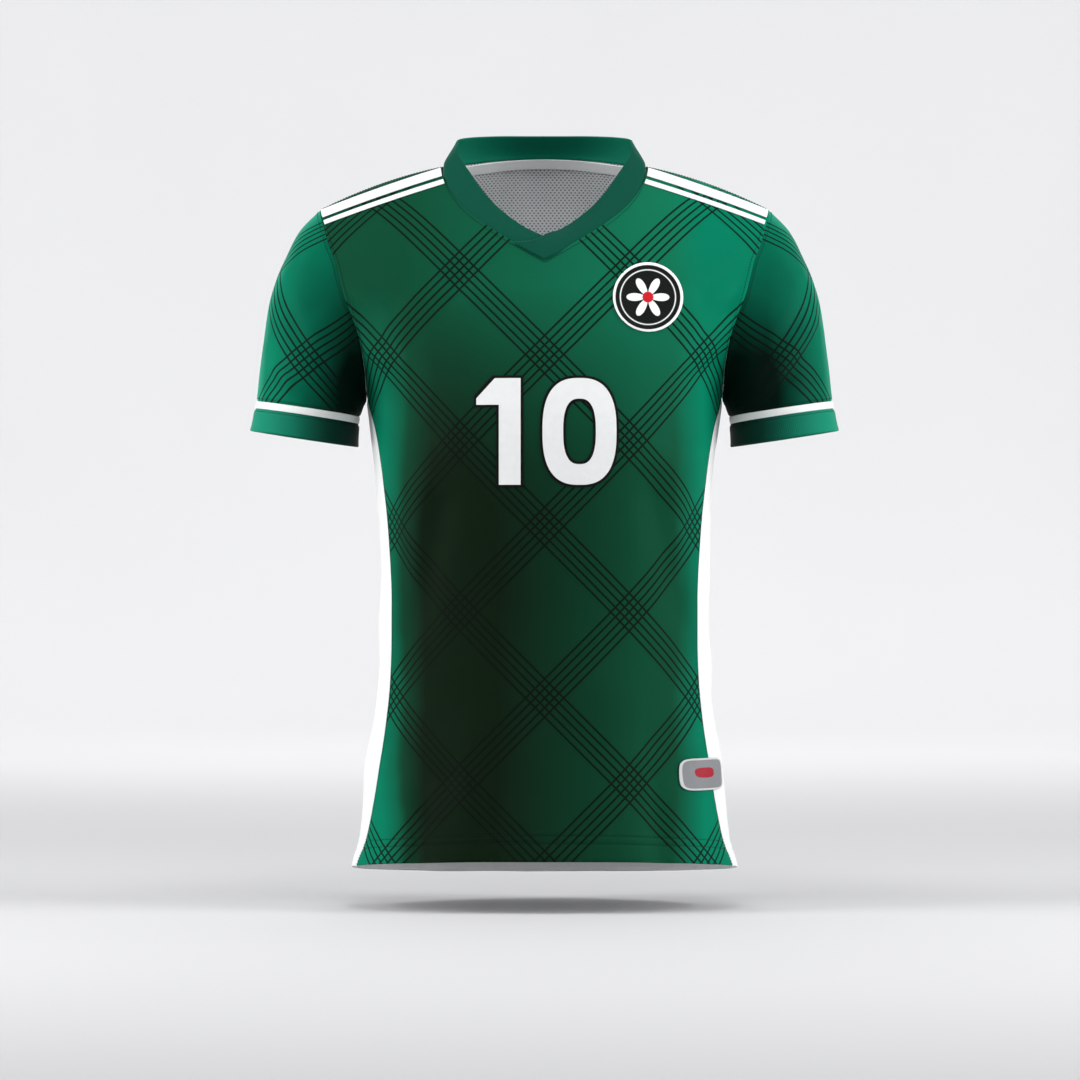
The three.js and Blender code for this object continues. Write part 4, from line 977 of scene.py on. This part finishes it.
def cuff_relief(start, end):
    """A band of double cloth: full at both ends, a soft hollow between, a dip at its seam."""
    return seam_dip(start) + 0.35 * np.exp(-((end / 3) ** 2)) + 0.25 * np.exp(-(((start - 5) / 3) ** 2))


sleeve_along = runs((0.35, 9, 0.9), (9, 197, 3.4), (197, SLEEVE_END - 0.3, 0.9))
stripe_along = runs((SLEEVE_END + 0.3, STRIPE_END - 0.3, 0.8))
cuff_along = runs((STRIPE_END + 0.3, 217, 0.7), (217, 231, 1.6), (231, CUFF_END, 0.7))
sleeve_sheets, cuff_sheets = [], []
for word, side in SIDES:
    sleeve_sheets.append(sleeve_piece(
        f"jersey_sleeve_{word}", f"sleeve_{word}", side, sleeve_along, 1.0, sewn_both_ends, (0.9, 0.4, 0),
        [sleeve_cloth, mesh_inside]))
    sleeve_piece(f"jersey_stripe_{word}", f"cuff_stripe_{word}", side, stripe_along, 1.0,
                 lambda start, end: 0.35 * sewn_both_ends(start, end), (0.4, 0.4, 0), [white_cloth, mesh_inside])
    cuff_sheets.append(sleeve_piece(
        f"jersey_cuff_{word}", f"cuff_{word}", side, cuff_along, 1.7, cuff_relief, (0.3, 0.5, 0),
        [cuff_cloth, cuff_cloth]))

# %% [markdown]
# ## The collar
#
# The collar is a band of double cloth that stands up round the back of the neck and lies down into a V in front.
# Its base is the neckline, its top edge comes from a table, and past the front's point one end laps over the other.

# %% The collar's band
COLLAR_TOP = table(
    "station x y z",
    (0, 0, -67, -68.3), (0.25, 20, -61, -58.5), (0.5, 51, -50, -34), (0.75, 73, -32, -5), (1, 88, 0, 22),
    (1.25, 88, 21, 33), (1.5, 65, 40, 38), (1.75, 35, 50, 39.7), (2, 0, 53, 40),
)
collar_top = [curve_through(COLLAR_TOP, "station", key) for key in "xyz"]
COLLAR_THICKNESS, COLLAR_BULGE, LAP_GAP = 2.0, 2.5, 0.5


def collar_places():
    """Places along the neckline: round the under half, back along the over half, then past the point as a lap."""
    front_shares, back_shares = np.linspace(1, 0, 57), np.linspace(0, 1, 43)
    runs_of = [("front", -1, front_shares), ("back", -1, back_shares[1:]), ("back", 1, back_shares[-2::-1]),
               ("front", 1, front_shares[-2::-1]), ("lap", -1, np.linspace(1, 6 / 7, 15)[1:])]
    columns = {key: [] for key in ("x", "z", "station", "side", "ahead", "raised", "width")}
    for kind, side, share in runs_of:
        x, z, station = back_neckline(share) if kind == "back" else front_neckline(share)
        climb = np.clip(1 - x / 30, 0, 1) if (kind == "front" and side > 0) else 0 * x + (kind == "lap")
        width = lerp(1, 0.05, (1 - share) * 7) if kind == "lap" else 1 + 0 * x
        for key, value in zip(columns, (x, z, station, side + 0 * x, (kind != "back") + 0 * x,
                                        smoothstep(climb, 0, 1), width)):
            columns[key].append(value)
    return {key: np.concatenate(value) for key, value in columns.items()}


def collar_grid(rows):
    """From the base (0) to the top edge (1) in a straight line, bulged outwards by half a sine wave."""
    p = collar_places()
    x = p["side"] * p["x"]
    base = np.where(p["ahead"][:, None] > 0.5, face_point(FRONT, x, p["z"]), face_point(BACK, x, p["z"]))
    top = np.stack([p["side"] * collar_top[0](p["station"]), collar_top[1](p["station"]), collar_top[2](p["station"])], -1)
    out = base * (1, 1, 0)
    out = out / length_of(out)[:, None]
    share = rows[:, None] * p["width"]
    return lerp(base, top, share[..., None]) + out * (COLLAR_BULGE * np.sin(math.pi * share))[..., None], p


rows = runs((0.012, 0.2, 0.045), (0.2, 0.85, 0.065), (0.85, 1, 0.03))
collar_points, collar_info = collar_grid(rows)
collar_normals = sheet_normals(collar_points, body_inside(collar_points))
run, rise = lengths_across(collar_points), lengths_up(collar_points)
lift = (COLLAR_THICKNESS + LAP_GAP) * collar_info["raised"][None, :] + 0.8 * seam_dip(rise) * (1 - collar_info["raised"][None, :])
collar_outer = collar_points + collar_normals * lift[..., None]
collar_flat = np.stack([run, rise], -1) / 1000
collar = cloth("jersey_collar", collar_outer, collar_normals, COLLAR_THICKNESS - 0.1, collar_flat, rims=(0.5, 0.5, 0.5))
note_cut("jersey_collar", collar_points)
join_jersey(collar, [rib_cloth, rib_cloth], "collar")

# %% [markdown]
# ## What is sewn onto the front
#
# Tapes, badge, number and label take their points from the front itself and are moved straight out of it,
# so they follow its curve and its creases.

# %% Pieces that lie on a face
def face_surface(face, x, z, lift):
    """The face's point at (x, z), moved out along its normal by the creases' height and the lift."""
    step = 0.5
    across = face_point(face, x + step, z) - face_point(face, x - step, z)
    up = face_point(face, x, z + step) - face_point(face, x, z - step)
    normal = np.cross(across, up)
    normal *= -face["sign"] / length_of(normal)[..., None]
    height = crease_height(face["creases"], x, z) + lift
    return face_point(face, x, z) + normal * np.asarray(height)[..., None], normal


def laid_piece(name, x, z, lift, thickness, relief=0, rims=(0.3, 0.3, 0.3), flat=None):
    """A wall of its own on the front: its wrong side is at the lift, its right side a thickness further out."""
    outer, normals = face_surface(FRONT, x, z, lift + thickness + relief)
    if flat is None:
        flat = np.stack([lengths_across(outer), lengths_up(outer)], -1) / 1000
    return cloth(name, outer, normals, thickness, flat, rims=rims)


# %% [markdown]
# ### Shoulder tapes
#
# A broad and a narrow white tape run over each shoulder, from the collar to the sleeve. Their edges keep an even
# drop below the shoulder line, with a slight bow in the middle, as tape does when it is sewn round a curve.

# %% The shoulder tapes
def tape_places(side, top, bottom, across, up):
    """x and z of a tape: even drops below the crown line from neckline to armhole, bowed by a parabola."""
    shares = np.linspace(0, 1, 2001)
    neck_x, neck_z, _ = front_neckline(shares)
    drops = front_crown(neck_x) - neck_z
    drop = lerp(top, bottom, up)[:, None]
    start = np.interp(drop, drops, neck_x) + 1.6
    end = seam_at(float(shoulder_line(TIP_X)) - drop) - 1.6
    x = lerp(start, end, across)
    return side * x, front_crown(x) - drop - 3.5 * 4 * across * (1 - across)


for word, side in SIDES:
    for tape_word, top, bottom in (("broad", 2.5, 11.5), ("narrow", 15.5, 20.0)):
        x, z = tape_places(side, top, bottom, np.linspace(0, 1, 81), np.linspace(0, 1, 9))
        node = f"shoulder_tape_{tape_word}_{word}"
        join_jersey(laid_piece(f"jersey_{node}", x, z, 0.5, 0.9), [tape_cloth, tape_cloth], node)

# %% [markdown]
# ### The tape inside the neck
#
# A grey tape covers the seam inside the back of the neck. It lies on the wrong side of the back panel,
# so its points are the back's own, moved inwards.

# %% The neck tape
tape_rows = SIDE_ROWS + ARM_ROWS - np.linspace(1.5, 0.2, 9)
tape_columns = np.linspace(SHOULDER_COLUMNS + 1, 2 * (SHOULDER_COLUMNS + 6) - SHOULDER_COLUMNS - 1, 91)
tape_grid = face_grid(BACK, back_neckline, 6, tape_columns, tape_rows)
tape_normals = sheet_normals(tape_grid, body_inside(tape_grid))
tape_flat = np.stack([lengths_across(tape_grid), lengths_up(tape_grid)], -1) / 1000
neck_tape = cloth("jersey_neck_tape", tape_grid - tape_normals * 2.6, tape_normals, 0.9, tape_flat, rims=(0.3, 0.3, 0.3))
join_jersey(neck_tape, [neck_tape_cloth, neck_tape_cloth], "neck_tape")

# %% [markdown]
# ### The badge
#
# A round embroidered badge: a dark field of satin stitch, a pale rosette of six petals with a red heart,
# and a thick edge of overlocked thread. The disc is a square grid pressed into a circle, so it has no pole.

# %% The badge
def pressed_square(count, power):
    """Scales each ray of a square grid so that the square's border becomes a rounded shape of that power."""
    a, b = np.meshgrid(np.linspace(-1, 1, count), np.linspace(-1, 1, count))
    turn = np.arctan2(b, a)
    c, s = np.abs(np.cos(turn)), np.abs(np.sin(turn))
    scale = np.maximum(c, s) * (c**power + s**power) ** (-1 / power)
    return a * scale, b * scale


def badge_finish(name, radius):
    finish = Finish(name, {"Sheen Weight": 0.02, "Specular IOR Level": 0.1})
    x, _, z = finish.parts(finish.place())
    a, b = (x - BADGE_X / 1000) / radius, (z - BADGE_Z / 1000) / radius
    away = (a * a + b * b) ** 0.5
    turn = b.math("ARCTAN2", b, a)
    petals = abs((turn * 3.0).math("COSINE", turn * 3.0)) * 0.62
    rosette = (petals - away).ramp(-0.01, 0.01)
    heart = 1.0 - away.ramp(0.15, 0.17)
    ring = away.bell(0.8, 0.016)
    edge = away.ramp(0.935, 0.95)
    satin = ((a * 0.6 + b) * 60.0).sine() * 0.5 + 0.5
    overlock = (turn * 110.0).sine() * 0.5 + 0.5
    base = finish.mix(colour(4, 8, 6), colour(13, 20, 16), satin)
    base = finish.mix(base, colour(236, 238, 236), rosette.most(ring * 1.1).clamped())
    base = finish.mix(base, colour(196, 22, 38), heart)
    base = finish.mix(base, colour(240, 241, 240), edge)
    height = satin * (1.0 - edge) * 0.4 + overlock * edge * 0.6 + rosette * 0.5 + heart * 0.4 + ring * 0.4
    return finish.surface(base, 0.48 + satin * 0.14, height, 0.0003)


BADGE_X, BADGE_Z, BADGE_RADIUS = 101.5, -129.5, 34.0
a, b = pressed_square(61, 2.0)
away = np.hypot(a, b)
dome = 0.5 * np.exp(-(((away - 0.95) / 0.045) ** 2)) + 0.15 * (1 - away)
badge = laid_piece("jersey_badge", BADGE_X + a * BADGE_RADIUS, BADGE_Z + b * BADGE_RADIUS, 0.5, 1.1, dome, rims=(0.5, 0.5, 0.5))
join_jersey(badge, [badge_finish("embroidered badge", BADGE_RADIUS / 1000)] * 2, "chest_badge")

# %% [markdown]
# ### The label near the hem
#
# A satin label with rounded corners lies over the side seam. Along the body it follows the oval by its angle,
# so it bends round the side as the cloth does.

# %% The label
def label_finish():
    finish = Finish("grey satin label", {"Specular IOR Level": 0.25})
    across, up = finish.cloth_map()
    threads = (up * (2 * math.pi / 0.5)).sine() * 0.5 + 0.5
    side = across / 28.0
    rise = up / 15.5
    border = (abs(side) ** 6.0 + abs(rise) ** 6.0).ramp(0.50, 0.60)
    field = (abs(side + 0.05) ** 3.0 * 14.0 + abs(rise - 0.1) ** 3.0 * 30.0).ramp(0.95, 1.05)
    base = finish.mix(colour(96, 97, 100), colour(142, 143, 146), threads)
    base = finish.mix(colour(150, 4, 34), base, field)
    base = finish.mix(base, colour(190, 191, 193), border)
    return finish.surface(base, 0.4 + threads * 0.2, threads * 0.5 + border, 0.00015)


LABEL_Z, LABEL_HEIGHT, LABEL_FROM, LABEL_TO = -599.5, 31.0, math.radians(46), math.radians(77)
a, b = pressed_square(41, 5.0)
z = LABEL_Z + b * LABEL_HEIGHT / 2
x = reach_at(z) * np.sin(lerp(LABEL_FROM, LABEL_TO, (a + 1) / 2)) ** (2 / OVAL_POWER)
label = laid_piece("jersey_label", x, z, 0.8, 1.1, flat=np.stack([a * 0.028, b * LABEL_HEIGHT / 2000], -1))
join_jersey(label, [label_finish()] * 2, "hem_label")

# %% [markdown]
# ### The printed number
#
# A plain player's number is pressed onto the chest as a thin film, white on a black outline. Each figure is a
# grid between two curves: the nought lies between two rounded ovals, the one between a left and a right edge.

# %% The number
def print_finish(name, light, shadow):
    """A smooth pressed film that lets the knit show through a little."""
    finish = Finish(name, {"Specular IOR Level": 0.1})
    across, up = finish.cloth_map()
    fuzz = finish.noise(160.0, 3.0)
    base = finish.mix(shadow, light, fuzz * 0.7 + 0.3)
    return finish.surface(base, 0.42 + fuzz * 0.2, knit(across, up) * 0.6 + fuzz * 0.4, 0.00008)


def nought(x, z, half_width, half_height, stroke, grow):
    """Between an inner and an outer oval of power 2.6, grown by the outline on both sides."""
    angle, share = np.linspace(0, 2 * math.pi, 121)[None, :], np.linspace(0, 1, 7)[:, None]
    c, s = np.cos(angle), np.sin(angle)
    bent = lambda v: np.sign(v) * np.abs(v) ** (2 / 2.6)
    wide = lerp(half_width - stroke - grow, half_width + grow, share)
    tall = lerp(half_height - stroke - grow, half_height + grow, share)
    return x + wide * bent(c), z + tall * bent(s)


def one(x, z, half_height, stroke, grow):
    """Between a straight right edge and a left edge that steps out to a slanted flag at the top."""
    top, low = half_height + grow, -half_height - grow
    heights = np.array([low, 0.5 * half_height - grow, 0.5 * half_height - grow + 0.01, 0.62 * half_height + grow, top])
    left = np.array([0, 0, 22, 22, 4]) + grow
    levels = np.sort(np.concatenate([np.linspace(low, top, 60), heights]))
    share = np.linspace(0, 1, 9)
    edge = x - stroke / 2 - np.interp(levels, heights, left)
    return lerp(edge[:, None], x + stroke / 2 + grow, share), z + levels[:, None] + 0 * share


NUMBER_Z, NUMBER_HALF = -262.0, 52.0
number_white = print_finish("white print", colour(226, 227, 227), colour(212, 214, 214))
number_black = print_finish("black print", colour(5, 7, 6), colour(11, 13, 12))
for word, lift, grow, finish in (("outline", 0.25, 2.6, number_black), ("figure", 0.62, 0.0, number_white)):
    x, z = one(-34.0, NUMBER_Z, NUMBER_HALF, 21.0, grow)
    join_jersey(laid_piece(f"number_one_{word}", x, z, lift, 0.3), [finish] * 2)
    x, z = nought(34.0, NUMBER_Z, 36.0, NUMBER_HALF, 20.0, grow)
    join_jersey(laid_piece(f"number_nought_{word}", x, z, lift, 0.3), [finish] * 2)

# %% [markdown]
# ## Stitches
#
# A stitch is a short capsule that bulges from the cloth and dips back into it. One small capsule is worked out
# for every place along a line at once, and a whole line of them becomes one mesh.

# %% Stitches along a line
def stitch_line(name, lines, finish, pitch=3.0, length=2.3, radius=0.32):
    """Each line is (points, normals) along the cloth. Five rings of four points run along every stitch, thin at
    both ends; its middle stands out along the normal by a parabola, its ends sink in, and both are closed."""
    along = np.linspace(-1, 1, 5)
    around = np.linspace(0, 2 * math.pi, 4, endpoint=False)
    points, faces, start = [], [], 0
    for path, normal in lines:
        run = np.concatenate([[0], np.cumsum(length_of(np.diff(path, axis=0)))])
        at = np.arange(pitch / 2, run[-1] - pitch / 4, pitch)[:, None] + along * length / 2
        centre = np.stack([np.interp(at, run, path[:, i]) for i in range(3)], -1)
        out = np.stack([np.interp(at, run, normal[:, i]) for i in range(3)], -1)
        ahead = np.gradient(centre, axis=1)
        aside = np.cross(out, ahead)
        aside /= length_of(aside)[..., None]
        thick = radius * np.sqrt(np.maximum(1 - along**2, 0.02))
        centre = centre + out * (radius * (0.7 - 0.8 * along**2))[None, :, None]
        spokes = np.cos(around)[:, None] * aside[:, :, None] + np.sin(around)[:, None] * out[:, :, None]
        ring = centre[:, :, None] + thick[None, :, None, None] * spokes
        index = start + np.arange(ring[..., 0].size).reshape(ring.shape[:3])
        start += index.size
        turned = np.roll(index, -1, 2)
        sides = np.stack([index[:, :-1], turned[:, :-1], turned[:, 1:], index[:, 1:]], -1).reshape(-1, 4)
        points.append(ring.reshape(-1, 3))
        faces += [sides, index[:, 0], index[:, -1, ::-1]]
    piece = mesh_object(name, np.concatenate(points), np.concatenate(faces))
    return join_jersey(piece, [finish])


def level_line(grid, normals, above, lift):
    """The line a given length up the columns of a grid, from its first to its last column."""
    rise = lengths_up(grid)
    row = np.clip((rise < above).sum(0) - 1, 0, len(grid) - 2)
    column = np.arange(grid.shape[1])
    low, high = rise[row, column], rise[row + 1, column]
    share = ((above - low) / (high - low))[:, None]
    points = lerp(grid[row, column], grid[row + 1, column], share)
    out = lerp(normals[row, column], normals[row + 1, column], share)
    return points + out * lift, out


def flipped(sheet, rows=False, columns=False, turned=False):
    """The same grid and normals read from another edge, so that lengths start there."""
    cut = (slice(None, None, -1 if rows else 1), slice(None, None, -1 if columns else 1))
    points, normals = (array[cut] for array in sheet)
    return (points.swapaxes(0, 1), normals.swapaxes(0, 1)) if turned else (points, normals)


front_sheet, back_sheet = (front_outer, front_normals), (back_outer, back_normals)
lap_sheet = flipped((collar_outer[:, -15:], collar_normals[:, -15:]), rows=True)
print("stitches are joined in lines of one mesh each")

# %% Where the stitching runs
SEAM_STITCH, THREAD_LIFT = 3.2, 0.05
for word, sheet in (("front", front_sheet), ("back", back_sheet)):
    stitch_line(f"hem_stitches_{word}", [level_line(*sheet, row, THREAD_LIFT) for row in HEM_STITCHES],
                green_thread)
    edges = [flipped(sheet, columns=far, turned=True) for far in (False, True)]
    stitch_line(f"side_stitches_{word}", [level_line(*edge, SEAM_STITCH, THREAD_LIFT) for edge in edges],
                green_thread)
    stitch_line(f"neck_and_shoulder_stitches_{word}", [level_line(*flipped(sheet, rows=True), SEAM_STITCH, THREAD_LIFT)],
                green_thread)
for (word, _), side_sheet, sleeve_sheet, cuff_sheet in zip(SIDES, side_sheets, sleeve_sheets, cuff_sheets):
    stitch_line(f"hem_stitches_side_{word}", [level_line(*side_sheet, row, THREAD_LIFT) for row in HEM_STITCHES],
                white_thread)
    stitch_line(f"sleeve_stitches_{word}", [level_line(*sleeve_sheet, SEAM_STITCH, THREAD_LIFT),
                level_line(*flipped(sleeve_sheet, rows=True), 2.6, THREAD_LIFT)], green_thread)
    stitch_line(f"cuff_stitches_{word}", [level_line(*cuff_sheet, 2.6, THREAD_LIFT)], green_thread)
# Real stitches in a pale thread; the pale colour is a painted highlight along the folded edge of the lap.
stitch_line("collar_lap_stitches_as_painted_highlight", [level_line(*lap_sheet, 0.7, THREAD_LIFT)], lap_highlight_thread)
print("stitch faces:", sum(len(p.data.polygons) for key, p in pieces.items() if "stitches" in key))

# %% [markdown]
# ## What was cut from cloth
#
# For each sheet the size it was cut to, all round where it is a tube, is printed, and the pieces sewn onto it are
# gathered in a list.

# %% The cut of each sheet
ON_FRONT = [p for key, p in pieces.items() if "tape_" in key and "neck_tape" not in key or key.startswith("number")
            or key in ("jersey_badge", "jersey_label", "hem_stitches_front", "side_stitches_front",
                       "neck_and_shoulder_stitches_front")]
ON_BACK = [pieces[key] for key in ("jersey_neck_tape", "hem_stitches_back", "side_stitches_back",
                                   "neck_and_shoulder_stitches_back")]
for key, (width, length, area) in cut_sizes.items():
    word = key.rsplit("_", 1)[-1]
    on_it = {"jersey_front": ON_FRONT, "jersey_back": ON_BACK, "jersey_collar": [pieces["collar_lap_stitches_as_painted_highlight"]]}.get(key, [])
    if key.startswith(("jersey_side", "jersey_sleeve", "jersey_cuff")):
        sewn = {"side": ["hem_stitches_side_"], "sleeve": ["sleeve_stitches_", "jersey_stripe_"], "cuff": ["cuff_stitches_"]}
        on_it = [pieces[start + word] for start in sewn[key.split("_")[1]]]
    print(key, "cut", round(width * 1000), "x", round(length * 1000), "mm,", round(area * 1e4), "square cm")

# %% [markdown]
# ## Floor and light
#
# A pale round floor curves up into a wall all round, so there is no horizon from any side. The jersey hangs just
# above it. Two tall soft lights stand at the sides, a little ahead of it, and brighten the sleeves' outer edges
# and the sides of the body. A wide soft light above gives the shadow under the hem, one lights the wall behind,
# and a small one shines down into the neck, so the pale mesh inside shows.

# %% The floor
FLOOR_Z, FLAT_TO, BEND, RIM_HEIGHT = -735.0, 4500.0, 2800.0, 4200.0


def floor_bowl():
    """A round floor: its profile runs level, turns up through a quarter circle, rises straight, and is carried
    all the way round. The middle is a square grid pressed round, so that no faces meet in a point."""
    turn = np.linspace(0, math.pi / 2, 20)[1:]
    far = np.concatenate([np.linspace(1200, FLAT_TO, 6), FLAT_TO + BEND * np.sin(turn), np.full(4, FLAT_TO + BEND)])
    high = np.concatenate([np.zeros(6), BEND * (1 - np.cos(turn)), np.linspace(BEND + 300, RIM_HEIGHT, 4)])
    a, b = pressed_square(17, 2.0)
    index = np.arange(17 * 17).reshape(17, 17)
    border = np.concatenate([index[0, :-1], index[:-1, -1], index[-1, :0:-1], index[:0:-1, 0]])
    middle = np.stack([a * 1200, b * 1200, 0 * a], -1).reshape(-1, 3)
    way = middle[border] / 1200
    rings = way * far[1:, None, None] + np.stack([0 * high, 0 * high, high], -1)[1:, None]
    around = np.concatenate([border[None], 289 + np.arange(rings[..., 0].size).reshape(rings.shape[:2])])
    turned = np.roll(around, -1, 1)
    faces = [np.stack([index[:-1, :-1], index[:-1, 1:], index[1:, 1:], index[1:, :-1]], -1).reshape(-1, 4),
             np.stack([around[:-1], around[1:], turned[1:], turned[:-1]], -1).reshape(-1, 4)]
    points = np.concatenate([middle, rings.reshape(-1, 3)]) + (0, 0, FLOOR_Z)
    return mesh_object("floor", points, np.concatenate(faces))


floor = floor_bowl()
floor_finish = Finish("pale floor", {"Specular IOR Level": 0.1})
cloudy = floor_finish.noise(1.2, 2.0)
pale = floor_finish.mix(colour(208, 208, 209), colour(213, 213, 214), cloudy)
floor.data.materials.append(floor_finish.surface(pale, 0.85 + cloudy * 0.05, cloudy, 0.0004))


# %% The lights
def soft_light(name, place, target, width, height, watts):
    data = bpy.data.lights.new(name, "AREA")
    data.shape, data.size, data.size_y, data.energy = "RECTANGLE", width, height, watts
    light = bpy.data.objects.new(name, data)
    light.location = place
    light.rotation_euler = (Vector(target) - Vector(place)).to_track_quat("-Z", "Y").to_euler()
    light.visible_camera = False
    bpy.context.collection.objects.link(light)
    return light


MIDDLE = (0, 0, -0.33)
soft_light("light from the left", (-2.2, -0.7, 0.3), MIDDLE, 1.0, 2.4, 58)
soft_light("light from the right", (2.2, -0.7, 0.3), MIDDLE, 1.0, 2.4, 58)
soft_light("light from above", (0, -0.5, 2.6), MIDDLE, 5.0, 5.0, 14)
soft_light("light from the front", (0.4, -4.0, 1.2), MIDDLE, 2.4, 2.0, 6)
soft_light("light into the neck", (0, -0.9, 1.3), (0, 0.05, -0.05), 0.6, 0.6, 8.5)
soft_light("light on the wall", (0, 3.0, 2.6), (0, 6.8, -0.6), 6.0, 1.6, 180)
world = bpy.data.worlds.new("studio")
world.use_nodes = True
world.node_tree.nodes["Background"].inputs["Color"].default_value = (0.97, 0.98, 1.0, 1)
world.node_tree.nodes["Background"].inputs["Strength"].default_value = 0.44
bpy.context.scene.world = world
bpy.context.scene.view_settings.view_transform = "Standard"
print("lights:", len(bpy.data.lights))

# %% The count of faces and the end
print("faces in all:", sum(len(p.data.polygons) for p in pieces.values()))
